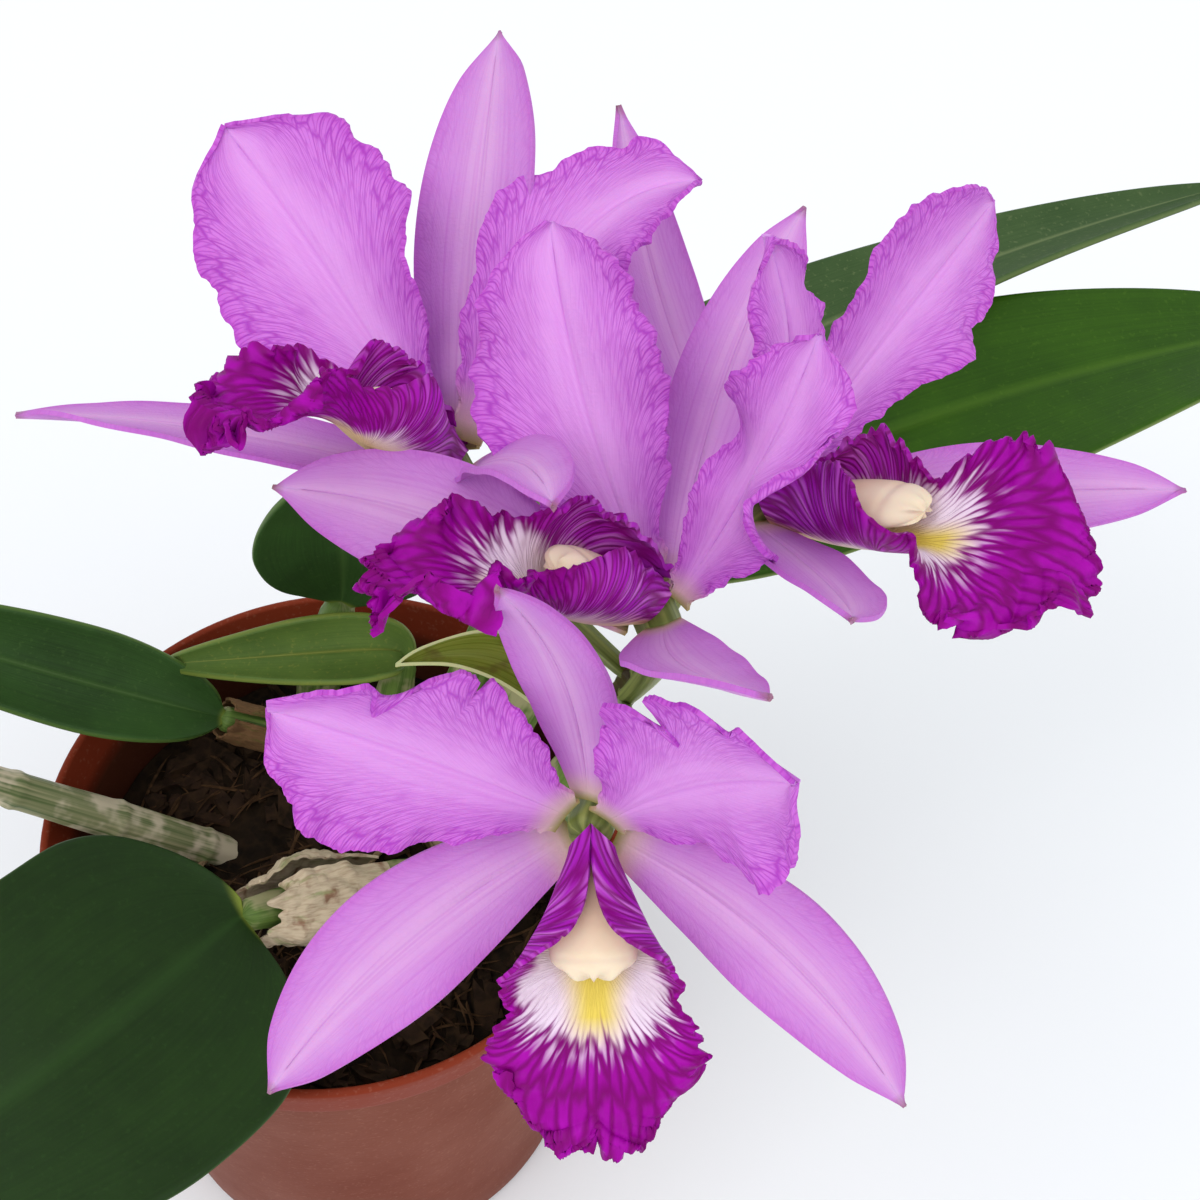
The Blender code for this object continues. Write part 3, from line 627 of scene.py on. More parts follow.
def bump(x, middle, width):
    """A smooth bump: 1 at its middle, falling to 0 on both sides."""
    return exp(-((x - middle) / width) ** 2)


def past(t, first, span):
    """How many spans t is past a first value, and 0 before it."""
    return max(0.0, (t - first) / span)


def wave(seed, x):
    """A smooth wandering value between about -1 and 1."""
    return 2.0 * noise.noise(Vector((x, 17.3 * seed, 5.1)))


# ---- pot and mix ----
def turned(profile, sides):
    """A closed turned shape: a disc, extruded and scaled once for each ring of its profile."""
    radius, height = profile[0]
    piece = new_shape(bpy.ops.mesh.primitive_circle_add, vertices=sides, radius=radius,
                      fill_type="TRIFAN", location=(0.0, 0.0, height))
    bpy.ops.object.transform_apply(location=True)
    bpy.ops.object.mode_set(mode="EDIT")
    bpy.ops.mesh.select_all(action="DESELECT")
    bpy.ops.mesh.select_mode(type="EDGE")
    bpy.ops.mesh.select_non_manifold()
    for (last, low), (radius, height) in zip(profile, profile[1:]):
        bpy.ops.mesh.extrude_edges_move(TRANSFORM_OT_translate={"value": (0.0, 0.0, height - low)})
        bpy.ops.transform.resize(value=(radius / last, radius / last, 1.0),
                                 center_override=(0.0, 0.0, height))
    bpy.ops.mesh.edge_face_add()
    bpy.ops.mesh.poke()
    bpy.ops.mesh.select_all(action="SELECT")
    bpy.ops.mesh.normals_make_consistent(inside=False)
    bpy.ops.object.mode_set(mode="OBJECT")
    return piece


def inner_radius(height):
    """The pot's inside radius, which widens steadily from the floor to the rim."""
    rise = height / (POT_HEIGHT - RIM_DEPTH)
    return BASE_RADIUS + (BODY_RADIUS - BASE_RADIUS) * rise - POT_WALL


def build_pot(finish):
    """Tapered pot with a stepped rim, rounded lip and foot, and drain holes."""
    shelf = POT_HEIGHT - RIM_DEPTH
    lip = [(RIM_RADIUS - 0.5 * POT_WALL + 0.5 * POT_WALL * cos(a) * 1.05,
            POT_HEIGHT - 0.5 * POT_WALL + 0.5 * POT_WALL * sin(a))
           for a in [pi * i / 8 for i in range(9)]]
    outer = [(BASE_RADIUS - 0.0016, 0.0), (BASE_RADIUS - 0.0004, 0.0004), (BASE_RADIUS + 0.0004, 0.003)]
    outer += [(BASE_RADIUS + 0.0004 + (BODY_RADIUS - BASE_RADIUS - 0.0004) * k / 12,
               0.003 + (shelf - 0.0036) * k / 12) for k in range(1, 13)]
    outer += [(BODY_RADIUS + 0.0006, shelf - 0.0002), (RIM_RADIUS - 0.0014, shelf),
              (RIM_RADIUS - 0.0008, shelf + 0.0005), (RIM_RADIUS - 0.0006, shelf + 0.0016)]
    outer += [(RIM_RADIUS - 0.0005, shelf + 0.004), (RIM_RADIUS - 0.0002, shelf + 0.0065)]
    inner = [(inner_radius(shelf - 0.0005) + 0.0003, shelf + 0.0006)]
    inner += [(inner_radius(h * shelf / 8), h * shelf / 8) for h in (7, 6, 5, 4, 3, 2, 1)]
    inner += [(inner_radius(0.0045), 0.0045), (inner_radius(0.0028) - 0.002, POT_FLOOR)]
    inner += [(inner_radius(POT_FLOOR) - 0.006, POT_FLOOR), (0.01, POT_FLOOR)]
    pot = turned([(0.01, 0.0), (0.03, 0.0), *outer, *lip, *inner], 128)
    for index in range(DRAIN_COUNT):
        turn = 2.0 * pi * (index + 0.3) / DRAIN_COUNT
        drill = new_shape(
            bpy.ops.mesh.primitive_cylinder_add, vertices=32, radius=DRAIN_RADIUS,
            depth=4.0 * POT_FLOOR, location=(DRAIN_RING * cos(turn), DRAIN_RING * sin(turn), 0.0))
        hole = pot.modifiers.new("drain", "BOOLEAN")
        hole.object = drill
        hole.solver = "EXACT"
        bpy.context.view_layer.objects.active = pot
        bpy.ops.object.modifier_apply(modifier=hole.name)
        bpy.data.objects.remove(drill, do_unlink=True)
    settle(pot, "pot_moulded", finish, "pot", "pot", crease=35)


def mix_level(x, y):
    """Height of the lumpy top of the mix."""
    reach = hypot(x, y) / inner_radius(MIX_EDGE)
    level = MIX_CROWN - (MIX_CROWN - MIX_EDGE) * reach ** 2
    lumps = noise.fractal(Vector((x * 95, y * 95, 1.7)), 0.9, 2.1, 4)
    return level + 0.0022 * lumps * (1.0 - 0.5 * reach)


def build_mix(finish):
    """The body of the mix, filling the pot, with a lumpy top."""
    floor = POT_FLOOR + GAP
    edge = inner_radius(MIX_EDGE) - GAP
    profile = [(0.01, floor), (inner_radius(floor) - 0.0026, floor),
               (inner_radius(floor + 0.0022) - GAP, floor + 0.0022), (edge - 0.0004, MIX_EDGE - 0.006)]
    profile += [(edge * (1.0 - k / 60), MIX_EDGE) for k in range(0, 58)]
    body = turned(profile, 180)
    for vert in body.data.vertices:
        if vert.co.z > MIX_EDGE - 0.001:
            vert.co.z = mix_level(vert.co.x, vert.co.y)
    settle(body, "mix_body", finish, "potting_mix", "potting_mix")


def clear_of_growths(point, room):
    """True if a point on the mix is away from the rhizome, the pseudobulbs and the cane."""
    for (ax, ay), (bx, by) in zip(RHIZOME_PATH, RHIZOME_PATH[1:]):
        for k in range(4):
            near = Vector((ax + (bx - ax) * k / 3, ay + (by - ay) * k / 3))
            if (near - point.xy).length < RHIZOME_RADIUS + room:
                return False
    return (Vector(CANE[0]).xy - point.xy).length > CANE_RADII[1] + room


def joined(pieces):
    bpy.ops.object.select_all(action="DESELECT")
    for piece in pieces:
        piece.select_set(True)
    bpy.context.view_layer.objects.active = pieces[0]
    bpy.ops.object.join()
    return pieces[0]


def build_bark(finish):
    """Torn bark chips lying on the mix, each a copy of one of a few split shapes."""
    draw = random.Random(BARK_SEED)
    # Without a seed noise_vector shapes the chips differently each run.
    noise.seed_set(BARK_SEED)
    shapes = []
    for kind in range(5):
        chip = new_shape(bpy.ops.mesh.primitive_cube_add, size=1.0)
        bpy.ops.object.mode_set(mode="EDIT")
        bpy.ops.mesh.subdivide(number_cuts=1)
        bpy.ops.object.mode_set(mode="OBJECT")
        for vert in chip.data.vertices:
            vert.co += noise.noise_vector(vert.co * 1.9 + Vector((kind * 7.7, 0, 0))) * 0.34
        shapes.append(chip)
    chips = []
    while len(chips) < BARK_COUNT:
        reach = inner_radius(MIX_EDGE) * sqrt(draw.random()) * 0.97
        turn = draw.uniform(0.0, 2.0 * pi)
        size = draw.uniform(*BARK_SIZES)
        spot = Vector((reach * cos(turn), reach * sin(turn), 0.0))
        tilt = Matrix.Rotation(draw.uniform(0.0, 6.28), 4, "Z") @ Matrix.Rotation(
            draw.uniform(-0.5, 0.5), 4, "X") @ Matrix.Rotation(draw.uniform(-0.5, 0.5), 4, "Y")
        stretch = Matrix.Diagonal((size * draw.uniform(1.0, 2.2), size * draw.uniform(0.5, 1.0),
                                   size * draw.uniform(0.25, 0.5), 1.0))
        source = draw.choice(shapes)
        if reach > inner_radius(MIX_EDGE) - size * 1.3 or not clear_of_growths(spot, size):
            continue
        spot.z = mix_level(spot.x, spot.y) + 0.0004
        copy = bpy.data.objects.new("chip", source.data.copy())
        bpy.context.collection.objects.link(copy)
        copy.data.transform(Matrix.Translation(spot) @ tilt @ stretch)
        chips.append(copy)
    for shape in shapes:
        bpy.data.objects.remove(shape, do_unlink=True)
    settle(joined(chips), "mix_bark", finish, "potting_mix", "potting_mix", crease=30)


def strand(path, radius, around, along):
    """A tapered thread along a few control points."""
    def place(turn, t):
        width = radius * min(1.0, 6.0 * t, 3.0 * (1.0 - t) + 0.001)
        return round_point(path, (0.0, 0.0, 1.0), t, turn, width)
    return spindle(around, along, place)


def build_fibres(finish):
    """Coarse coir threads and shreds that lie in loops on the mix."""
    draw = random.Random(FIBRE_SEED)
    threads = []
    while len(threads) < FIBRE_COUNT:
        reach = inner_radius(MIX_EDGE) * sqrt(draw.random()) * 0.9
        turn = draw.uniform(0.0, 2.0 * pi)
        start = Vector((reach * cos(turn), reach * sin(turn), 0.0))
        heading = draw.uniform(0.0, 2.0 * pi)
        length = draw.uniform(*FIBRE_LENGTHS)
        radius = draw.uniform(*FIBRE_RADII)
        bow = [draw.uniform(-0.3, 0.3) for _ in range(2)]
        way = Vector((cos(heading), sin(heading), 0.0))
        off = Vector((-way.y, way.x, 0.0))
        lift = draw.uniform(*FIBRE_LIFTS)
        path = [start, start + way * length * 0.35 + off * length * bow[0],
                start + way * length * 0.7 + off * length * bow[1], start + way * length]
        if any(p.length > inner_radius(MIX_EDGE) - 0.002 or not clear_of_growths(p, 0.001)
               for p in path):
            continue
        for rank, point in enumerate(path):
            point.z = mix_level(point.x, point.y) + 0.0002 + lift * (0.2, 1.0, 0.9, 0.1)[rank]
        threads.append(strand(path, radius, 5, 9))
    settle(joined(threads), "mix_fibres", finish, "potting_mix", "potting_mix")


# ---- growths ----
def bulb_path(name):
    if name == "cane_left":
        return CANE
    knot, shoulder, top, *_ = PSEUDOBULBS[name]
    return ((*RHIZOME_PATH[knot], RHIZOME_LEVEL), shoulder, top)


def build_rhizome(finish):
    """The creeping stem, ringed by old scale scars, with short swellings at its knots."""
    points = [Vector((x, y, RHIZOME_LEVEL)) for x, y in RHIZOME_PATH]
    points[0] += (points[0] - points[1]).normalized() * 0.005
    points[-1] += (points[-1] - points[-2]).normalized() * 0.005

    def place(turn, t):
        span = t * (len(points) - 1)
        index = min(int(span), len(points) - 2)
        here = points[index].lerp(points[index + 1], span - index)
        along = (points[index + 1] - points[index]).normalized()
        side = along.cross(Vector((0.0, 0.0, 1.0)))
        ring = 0.00035 * abs(sin(t * 60.0)) ** 6 + 0.0003 * wave(3, t * 30 + turn)
        close = min(1.0, sin(pi * t) * 6.0) ** 0.5
        width = (RHIZOME_RADIUS - 0.0005 + ring) * close
        return here + (side * cos(turn) + along.cross(side) * -sin(turn)) * width
    settle(spindle(28, 90, place), "rhizome_ringed", finish, "rhizome", "rhizome")


def build_bulb(name, finish):
    """A spindle with lengthwise furrows, faint node rings and a slim foot and top."""
    low, full, high = PSEUDOBULBS[name][3:]
    path = bulb_path(name)
    seed = 1 + list(PSEUDOBULBS).index(name)

    def place(turn, t):
        if t < 0.4:
            width = low + (full - low) * sin(0.5 * pi * t / 0.4)
        else:
            width = high + (full - high) * cos(0.5 * pi * (t - 0.4) / 0.6)
        furrow = 0.05 * cos(9 * turn + 2.0 * wave(seed, t * 2)) * sin(pi * t)
        ring = 0.05 * abs(sin(pi * 4.0 * t)) ** 14
        width *= 0.98 + furrow + ring + 0.03 * wave(seed, turn + 3 * t)
        return round_point(path, GROWTH_FACE, t, turn, width * closed_ends(t, 14.0))
    settle(spindle(40, 56, place), name + "_furrowed", finish, "pseudobulb", name)


def build_cane(finish):
    """The old cane: slim, jointed, with a ridge at each node and loose silvery skin."""
    def place(turn, t):
        width = bezier([(r, 0.0, 0.0) for r in CANE_RADII], t).x
        node = sum(bump(t, knot, 0.012) for knot in (0.14, 0.4, 0.66, 0.9))
        furrow = 0.02 * cos(8 * turn + 3.0 * wave(9, t * 2))
        width *= 0.97 + 0.1 * node + furrow + 0.03 * wave(5, turn + 6 * t)
        return round_point(CANE, GROWTH_FACE, t, turn, width * closed_ends(t, 16.0))
    settle(spindle(40, 90, place), "cane_left_jointed", finish, "pseudobulb", "cane_left")


def build_roots(finish):
    """A few old roots and skin shreds that hang from the cane and the pseudobulbs to the mix."""
    threads = []
    for first, last, bow, radius in ROOTS:
        threads.append(strand((first, bow, last), radius, 8, 20))
    settle(joined(threads), "root_shreds", finish, "rhizome", "rhizome")


def build_sheaths(finishes):
    """Dry scales: a crumpled one with a torn mouth round the front pseudobulb, a brown one left."""
    for name, (bulb, slim, belly, flare, open_to, crumple) in SHEATHS.items():
        path = [bezier(bulb_path(bulb), t) for t in (0.45, 0.72, 0.985)]

        def place(s, t):
            mouth = 1.0 - 0.16 * crumple * (0.5 + 0.5 * wave(4, s * 6.0)) * t ** 4
            here, side, normal = spine_frame(path, Vector(open_to), t * mouth, 0.0)
            angle = radians(168) * s
            radius = slim + belly * sin(pi * t) + flare * t
            creases = noise.fractal(Vector((s * 3.0, t * 2.4, 8.0)), 0.8, 2.2, 4)
            radius += crumple * 0.0016 * creases * min(1.0, 3 * t) + 0.0006 * abs(s) ** 8
            return here - radius * cos(angle) * normal + radius * sin(angle) * side
        piece = sheet(90, 60, place)
        thicken(piece, SHEATH_WALL)
        settle(piece, name + "_papery", finishes[name], "sheath", name, crease=50)


def build_leaves(finishes):
    """Thick strap leaves folded along the middle, with a slow wave along each margin."""
    for rank, (name, (bulb, middle, tip, width, face, fold)) in enumerate(LEAVES.items()):
        path = bulb_path(bulb)
        top, along = Vector(path[-1]), (Vector(path[-1]) - Vector(path[-2])).normalized()
        seat = top - along * LEAF_SEAT
        points = (seat, seat + along * (PETIOLE + 2.0 * LEAF_SEAT), middle, tip)

        def place(s, t):
            half = 0.5 * width * outline(LEAF_FORM, t)
            half *= 1.0 + 0.025 * wave(rank, 5.0 * t + (3.0 if s > 0 else 0.0)) * abs(s) ** 3
            margin = 0.0012 * wave(rank + 20, 4.0 * t + (9.0 if s > 0 else 0.0)) * abs(s) ** 3
            groove = -0.0006 * bump(s, 0.0, 0.05) * sin(pi * min(1.0, t * 1.1))
            return folded_point(points, face, s, t, half, fold, margin + groove)
        piece = sheet(28, 60, place)
        thicken(piece, LEAF_WALL, round_edges=True)
        settle(piece, name + "_blade", finishes[name], "leaf", name)


# ---- flower stem ----
def peduncle_path():
    top = Vector(PSEUDOBULBS["pseudobulb_flowering"][2])
    start = top + Vector((0.0006, -0.0001, -0.0022))
    return (start, start + Vector((0.003, -0.001, 0.02)), Vector(STEM_FORK))


def build_stem(finish):
    """The flower stem: ribbed lengthwise, with a thicker joint where each flower leaves it."""
    path = peduncle_path()

    def place(turn, t):
        joint = sum(bump(t, node, 0.02) for node in PEDICEL_NODES.values())
        rib = 0.07 * cos(6 * turn + 0.8 * t)
        width = PEDUNCLE_RADIUS * (0.95 + rib + 0.05 * joint)
        return round_point(path, (0.0, -1.0, 0.0), t, turn, width * closed_ends(t, 18.0))
    settle(spindle(36, 80, place), "peduncle_ribbed", finish, "peduncle", "peduncle")


def build_spathe(finish):
    """The spent spathe at the stem's foot: a thin boat, wavy along its margins."""
    top = Vector(PSEUDOBULBS["pseudobulb_flowering"][2])
    points = (top + Vector((-0.0022, 0.0, -0.0012)), *SPATHE_PATH)

    def place(s, t):
        half = 0.5 * SPATHE_WIDTH * outline(SPATHE_FORM, t)
        ripple = 0.0007 * wave(31, 6.0 * t + (4.0 if s > 0 else 0.0)) * abs(s) ** 3
        return folded_point(points, SPATHE_FACE, s, t, half, SPATHE_FOLD, ripple)
    piece = sheet(28, 48, place)
    thicken(piece, SHEATH_WALL)
    settle(piece, "spathe_boat", finish, "spathe", "spathe")


# ---- flowers ----
def flower_frame(azimuth, elevation, roll):
    """Columns: the flower's right, its up (toward the top sepal) and the way it faces."""
    a, e, r = (radians(x) for x in (azimuth, elevation, roll))
    face = Vector((sin(a) * cos(e), -cos(a) * cos(e), sin(e)))
    level_up = Vector((-sin(a) * sin(e), cos(a) * sin(e), cos(e)))
    level_right = level_up.cross(face)
    up = cos(r) * level_up + sin(r) * level_right
    return Matrix((up.cross(face), up, face)).transposed()


def direction(clock, lean):
    c, n = radians(clock), radians(lean)
    return Vector((sin(c) * cos(n), cos(c) * cos(n), sin(n)))


def build_tepal(part, tag, row, to_world, finish):
    """A sepal or petal: a curved, folded blade with its own ruffle along each margin."""
    sepal = part.startswith("sepal")
    layer, form = (SEPAL_LAYER, SEPAL_FORM) if sepal else (PETAL_LAYER, PETAL_FORM)
    clock, lean = row["clock"], row["lean"]
    length = row["share"] * (SEPAL_LENGTH if sepal else PETAL_LENGTH)
    start = direction(clock, 0.0) * TEPAL_START + Vector((0.0, 0.0, layer))
    middle = direction(clock + row["sweep"], lean + row["bend"]) * length * row["reach"]
    points = [to_world @ p for p in (start, middle, direction(clock, lean) * length)]
    ruffle_depth = row["ruffle"] * (SEPAL_RUFFLE if sepal else PETAL_RUFFLE)
    face = to_world.to_3x3() @ Vector((0.0, 0.0, 1.0))
    seed = 10 * ord(tag) + sum(ord(letter) for letter in part)
    round_from, fold = (0.86, 7.0) if sepal else (0.9, 8.0)

    def place(s, t):
        turned = row["turn"] + row["twist"] * t + row["wring"] * bump(t, 0.53, 0.15)
        here, side, normal = spine_frame(points, face, t, radians(turned))
        half = (row["right"] if s > 0 else row["left"]) * MM * outline(form, t)
        for at, way, deep, long in row["nicks"]:
            if way * s > 0:
                half -= deep * MM * abs(s) ** 4 * bump(t, at, long)
        end = max(0.0, t - round_from) / (1.0 - round_from)
        half *= max(0.03, (1.0 - end * end) ** 0.5)
        turn = seed + (40.0 if s > 0 else 0.0)
        edge = abs(s) ** 2.5
        if not sepal:
            half *= 1.0 + 0.07 * edge * wave(turn, 9.0 * t)
            half += MM * abs(s) ** 6 * (0.25 * wave(turn + 1, 55.0 * t) + 0.5 * wave(turn + 5, 22.0 * t))
        rise = half * abs(s) ** 1.5 * sin(radians(fold))
        ruffle = ruffle_depth * min(1.0, 3.0 * t)
        rise += ruffle * edge * wave(turn + 2, 5.0 * t)
        if not sepal:
            rise += 0.28 * ruffle * edge * wave(turn + 3, 13.0 * t)
        # The blade undulates a little, and dips along its midline.
        rise += 0.35 * ruffle * wave(seed + 6, 3.0 * t + 0.8 * s) * min(1.0, 4.0 * abs(s))
        rise -= 0.0003 * bump(s, 0.0, 0.05) * min(1.0, 4.0 * t)
        return here + half * s * cos(radians(fold)) * side + rise * normal
    piece = sheet(32, 72, place) if sepal else sheet(64, 96, place)
    thicken(piece, TEPAL_WALL)
    kind = "sepal" if sepal else "petal"
    node = part + "_" + tag
    settle(piece, node + "_blade", finish, kind, node)


# The lip at even steps from base to front: half-width laid flat (mm), and the curl of each side
# (radians) of a lip that opens early and of one that stays rolled.
LIP_HALF = (9.0, 15.0, 18.2, 18.6, 17.0, 14.4, 14.4, 15.0, 14.8, 13.8, 11.6)
LIP_OPEN = (3.12, 3.02, 2.62, 2.04, 1.4, 0.95, 0.5, 0.2, 0.0, -0.25, -0.4)
LIP_ROLLED = (3.12, 3.04, 2.8, 2.6, 2.3, 2.0, 1.75, 1.5, 1.15, 0.7, 0.3)
LIP_STEPS = 40


def lip_keel(lip):
    """Places along the lip's keel, each with its forward, upward and sideways directions."""
    along = direction(lip["clock"], lip["lean"])
    above = direction(lip["clock"], lip["lean"] + 90.0)
    above = Matrix.Rotation(radians(lip["roll"]), 3, along) @ above
    side = along.cross(above)
    spot = Vector((0.0, 0.0, PETAL_LAYER)) + direction(lip["clock"], 0.0) * TEPAL_START
    keel = []
    for step in range(LIP_STEPS + 1):
        t = step / LIP_STEPS
        bend = past(t, 0.42, 0.58)
        tilt = 9.0 * cos(pi * min(1.0, 2.0 * t)) + lip["nod"] * bend * (2.0 - bend)
        tilt = radians(tilt)
        forward = along * cos(tilt) - above * sin(tilt)
        up = above * cos(tilt) + along * sin(tilt)
        spin = Matrix.Rotation(radians(lip["spin"]) * min(1.0, max(0.0, t - 0.35) / 0.35), 3,
                               forward)
        keel.append((spot.copy(), forward, spin @ up, spin @ side))
        spot += forward * lip["length"] * MM / LIP_STEPS
    return keel


def lip_point(s, t, keel, lip, seed):
    """A funnel whose side lobes wrap the column, opening into a broad ruffled apron."""
    step = min(int(t * LIP_STEPS), LIP_STEPS - 1)
    part = t * LIP_STEPS - step
    spot, forward, above, side = (a.lerp(b, part) for a, b in zip(keel[step], keel[step + 1]))
    apron = past(t, 0.42, 0.58)
    back = 0.33 * lip["length"] * MM * (1.0 - sqrt(1.0 - 0.97 * s * s)) * apron * apron
    back += 6.0 * MM * s * s * max(0.0, 1.0 - t / 0.22) ** 2
    edge = max(abs(s) ** 3, apron ** 5) * min(1.0, 5.0 * t)
    # hem counts along the free margin, up one side lobe, round the front and down the other.
    hem = (1.3 - t - 0.3 * (1.0 - abs(s)) * apron) * (1.0 if s > 0 else -1.0)
    half = smooth_row(LIP_HALF, t) * MM * (1.0 + lip["uneven"] * s)
    half *= 1.0 - lip["waist"] * bump(t, 0.48, 0.09)
    half *= 1.0 + (lip["breadth"] - 1.0) * max(0.0, min(1.0, (t - 0.25) / 0.3))
    half *= 1.0 + 0.05 * abs(s) ** 4 * wave(seed, 9.0 * hem)
    frill = 0.9 * apron * wave(seed + 8, 15.0 * hem) + 0.55 * wave(seed + 1, 34.0 * hem)
    half += MM * abs(s) ** 7 * lip["ruffle"] * (frill + 0.3 * wave(seed + 6, 80.0 * hem))
    fringe = 1.5 * wave(seed + 4, 9.0 * hem) + 0.9 * wave(seed + 5, 34.0 * hem)
    fringe += 0.5 * wave(seed + 7, 80.0 * hem)
    split = -3.5 * lip["notch"] * bump(s, 0.0, 0.06)
    spot = spot + forward * (MM * apron ** 8 * (fringe + split) - back)
    curl = smooth_row(LIP_OPEN, t)
    curl += (smooth_row(LIP_ROLLED, t) - curl) * lip["closed"]
    curl = curl if abs(curl) > 0.03 else 0.03
    radius = half / curl
    point = spot + side * radius * sin(curl * s) + above * radius * (1.0 - cos(curl * s))
    out = above * cos(curl * s) - side * sin(curl * s)
    deep = MM * edge * (0.5 + 1.7 * past(t, 0.25, 0.75)) * lip["ruffle"]
    ruffle = wave(seed + 2, 7.0 * hem) + 0.4 * wave(seed + 3, 19.0 * hem)
    pleat = 0.1 * MM * sin(60.0 * s) * apron * (1.0 - abs(s) ** 4)
    return point + out * (deep * ruffle + pleat)


def build_lip(tag, to_world, lip, keel, finishes):
    piece = sheet(110, 130, lambda s, t: to_world @ lip_point(s, t, keel, lip, ord(tag)))
    for skin in finishes:
        piece.data.materials.append(skin)
    thicken(piece, TEPAL_WALL, back_finish=1)
    settle(piece, "lip_%s_ruffled" % tag, finishes[0], "lip", "lip_" + tag)


# Half-widths, half-depths and stalk radii (mm) at even steps along the column and a flower stalk;
# then how high (mm) the column lies over the keel at shares of its length.
COLUMN_SIDES = (2.4, 3.5, 4.7, 5.6, 6.0, 5.9, 4.9)
COLUMN_DEPTHS = (2.0, 2.2, 2.5, 2.9, 3.1, 3.0, 2.4)
PEDICEL_RADII = (1.6, 1.6, 1.8, 2.0, 2.2, 2.5, 3.1, 3.1)
COLUMN_LIFTS = ((0.33, 5.0), (0.67, 6.0), (1.0, 5.2))


def build_column(tag, to_world, keel, reach, finish):
    """The column, lying in the lip's tube: a hooded club with an anther cap of three teeth."""
    start = Vector((0.0, 0.0, RECEPTACLE_FRONT + 2.0 * GAP))
    path = [start]
    for share, lift in COLUMN_LIFTS:
        spot, _, above, _ = keel[round(share * reach * LIP_STEPS)]
        path.append(spot + above * lift * MM)
    up = keel[LIP_STEPS // 4][2]

    def place(turn, t):
        here, side, normal = spine_frame(path, up, t, 0.0)
        close = min(1.0, 5.0 * t) * max(0.0, 1.0 - past(t, 0.82, 0.18) ** 2.4) ** 0.5
        across = smooth_row(COLUMN_SIDES, t) * MM * close * cos(turn)
        deep = smooth_row(COLUMN_DEPTHS, t) * MM * close * sin(turn)
        deep *= 0.55 if sin(turn) < 0 else 1.0
        end = past(t, 0.84, 0.16)
        tooth = 0.0015 * end * max(0.0, cos(3.0 * pi * cos(turn))) * (1.0 - end ** 6)
        cap = 0.00025 * bump(t, 0.8, 0.03) * max(0.0, sin(turn))
        return here + side * across + normal * (deep - cap) + (here - path[-2]).normalized() * tooth
    piece = spindle(48, 60, lambda turn, t: to_world @ place(turn, t))
    settle(piece, "column_%s_capped" % tag, finish, "column", "column_" + tag)


def build_pedicel(tag, to_world, finish):
    """From its node on the stem to the knob behind the flower, faintly six ribbed."""
    node = PEDICEL_NODES[tag]
    back = to_world @ Vector((0.0, 0.0, -RECEPTACLE_BACK))
    control = to_world @ Vector((0.0, 0.0, -PEDICEL_BOWS[tag]))
    stem = peduncle_path()
    here = bezier(stem, node)
    along = (here - bezier(stem, node - 0.02)).normalized()
    if node < 1.0:
        out = (control - here) - along * (control - here).dot(along)
        out.normalize()
        start = here + out * 0.3 * PEDUNCLE_RADIUS
    else:
        out = along
        start = here - out * 0.6 * PEDUNCLE_RADIUS
    front = to_world @ Vector((0.0, 0.0, RECEPTACLE_FRONT))
    points = [start] + [bezier((start + out * 0.002, control, back), i / 5) for i in range(6)]
    points.append(front)

    def place(turn, t):
        span = t * (len(points) - 1)
        index = min(int(span), len(points) - 2)
        spot = Vector([smooth_row([p[axis] for p in points], t) for axis in range(3)])
        way = (points[index + 1] - points[index]).normalized()
        side = way.cross(Vector((0.3, 0.2, 0.9))).normalized()
        close = min(1.0, 16.0 * t) * (1.0 - past(t, 0.93, 0.07) ** 3) ** 0.5
        width = smooth_row(PEDICEL_RADII, t) * MM * (1.0 + 0.05 * cos(6 * turn)) * close
        return spot + (side * cos(turn) + side.cross(way) * sin(turn)) * width
    settle(spindle(24, 60, place), "pedicel_%s_ribbed" % tag, finish, "pedicel", "pedicel_" + tag)


# ---- floor, lights and camera ----
CAMERA_PLACE = (0.058, -0.206, 0.482)
CAMERA_TILT = 37.5
CAMERA_ROLL = 2.7
CAMERA_LENS_MM = 54.0
SENSOR_WIDTH_MM = 36.0
AIR_COLOR = (0.95, 0.97, 1.0, 1.0)
AIR_STRENGTH = 0.82
LAMP_AIM = (0.03, -0.02, 0.2)
# name: place, size, power (watts)
SOFTBOXES = {
    "key_softbox": ((-1.8, -2.2, 4.1), 3.2, 78.0),
    "fill_softbox": ((2.6, -1.8, 3.1), 2.8, 28.0),
}


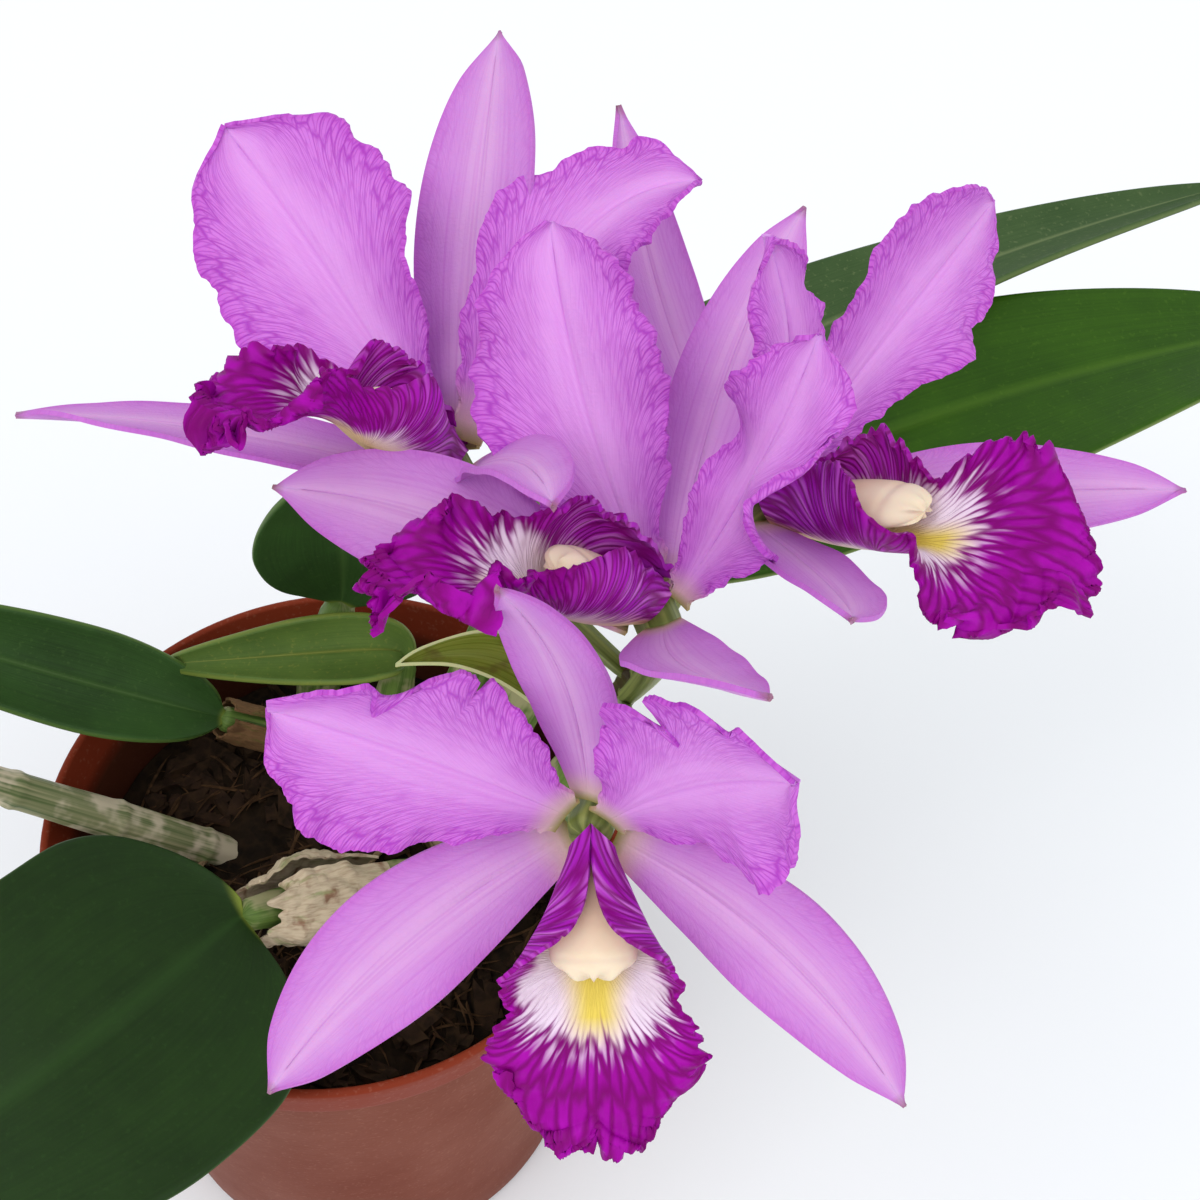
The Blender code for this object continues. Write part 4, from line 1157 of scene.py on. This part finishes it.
def build_studio():
    floor = new_shape(bpy.ops.mesh.primitive_plane_add, size=8.0, location=(0.0, 0.0, -0.0005))
    floor.name = "studio_floor"
    made, _ = new_finish("floor_matt_paper", Roughness=0.95, Specular_IOR_Level=0.0,
                         Base_Color=tint("#F8FAFC"))
    floor.data.materials.append(made)

    scene = bpy.context.scene
    scene.view_settings.view_transform = "Standard"
    scene.world = bpy.data.worlds.new("studio_air")
    scene.world.use_nodes = True
    air = scene.world.node_tree.nodes["Background"]
    air.inputs["Color"].default_value = AIR_COLOR
    air.inputs["Strength"].default_value = AIR_STRENGTH

    for name, (place, size, power) in SOFTBOXES.items():
        lamp = bpy.data.lights.new(name, "AREA")
        lamp.size = size
        lamp.energy = power
        holder = bpy.data.objects.new(name, lamp)
        scene.collection.objects.link(holder)
        holder.location = place
        aim = Vector(LAMP_AIM) - Vector(place)
        holder.rotation_euler = aim.to_track_quat("-Z", "Y").to_euler()

    lens = bpy.data.cameras.new("view")
    lens.lens = CAMERA_LENS_MM
    lens.sensor_width = SENSOR_WIDTH_MM
    camera = bpy.data.objects.new("view", lens)
    scene.collection.objects.link(camera)
    camera.matrix_world = (Matrix.Translation(CAMERA_PLACE)
                           @ Matrix.Rotation(radians(CAMERA_TILT), 4, "X")
                           @ Matrix.Rotation(radians(CAMERA_ROLL), 4, "Z"))
    scene.camera = camera


# ---- build ----
build_studio()
build_pot(pot_finish())
build_mix(mix_finish("mix_composted_bark", "#120D08", "#241A10", "#2E2114"))
build_bark(mix_finish("bark_torn_chips", "#1B130B", "#33241A", "#3D2C1C"))
build_fibres(mix_finish("coir_threads", "#2A1C10", "#4A3522", "#5A422B"))

silver = bulb_finish("cane_silvery_skin", "#9C9A72", "#5B6C40", "#CABFA2", 0.5)
green = bulb_finish("pseudobulb_green_skin", "#66803A", "#476028", "#96946A", 0.5)
bark_brown = bulb_finish("rhizome_scaly_skin", "#6B5A38", "#3D3220", "#8C7C5C", 0.5)
build_rhizome(bark_brown)
for bulb_name in PSEUDOBULBS:
    build_bulb(bulb_name, green)
build_cane(silver)
build_roots(sheath_finish("root_dry_skin", "#8A7656", "#5E4A30", "#4A3722"))
front_sheath = sheath_finish("sheath_bleached_paper", "#C8B79A", "#7E9054", "#7A4E36")
left_sheath = sheath_finish("sheath_brown_paper", "#76583A", "#5B5A2B", "#4A331E")
build_sheaths({"sheath_front": front_sheath, "sheath_left": left_sheath})

dark_leaf = leaf_finish("leaf_dark_leather", "#2B4420", "#375827", "#4C6A34", "#5F7A35")
front_leaf = leaf_finish("leaf_front_leather", "#1C3112", "#233C15", "#2C4A1D", "#3C5A24")
dull_leaf = leaf_finish("leaf_dull_leather", "#37502A", "#455D34", "#7C8A5C", "#6F8048")
bright_leaf = leaf_finish("leaf_bright_leather", "#284A08", "#33590C", "#4A6E1C", "#8A9A58")
olive_leaf = leaf_finish("leaf_olive_leather", "#48602A", "#5C7432", "#8E8F42", "#7F8A3C")
build_leaves({"leaf_front": front_leaf, "leaf_left": dark_leaf, "leaf_cane": dark_leaf,
              "leaf_mid": olive_leaf, "leaf_rear": dark_leaf, "leaf_right_upper": dull_leaf,
              "leaf_right_lower": bright_leaf})
build_stem(stalk_finish("stem_herbaceous", "#2B2412", "#4F4A22", "#3C3319"))
build_spathe(spathe_finish())

petal_tissue = petal_finish("petal_violet_tissue", 0.75, 0.25, 0.0,
                            ("#E09EE6", "#D37EDC", "#C65ACF", "#A22AB2"))
sepal_tissue = petal_finish("sepal_violet_tissue", 0.2, 0.38, 1.4,
                            ("#D8A4DA", "#CE8AD6", "#C066C8", "#A448B2"))
lip_tissue = (lip_finish("lip_velvet_tissue", True), lip_finish("lip_outer_tissue", False))
column_tissue = column_finish()
pedicel_tissue = stalk_finish("pedicel_green_tissue", "#55602A", "#8C9650", "#6E7A3C")
for flower_tag, flower in FLOWERS.items():
    world = Matrix.Translation(Vector(flower["place"])) @ flower_frame(
        flower["azimuth"], flower["elevation"], flower["roll"]).to_4x4()
    for tepal in ("sepal_dorsal", "sepal_left", "sepal_right", "petal_left", "petal_right"):
        build_tepal(tepal, flower_tag, flower[tepal], world,
                    sepal_tissue if tepal.startswith("sepal") else petal_tissue)
    flower_keel = lip_keel(flower["lip"])
    build_lip(flower_tag, world, flower["lip"], flower_keel, lip_tissue)
    build_column(flower_tag, world, flower_keel, flower["lip"]["column"], column_tissue)
    build_pedicel(flower_tag, world, pedicel_tissue)
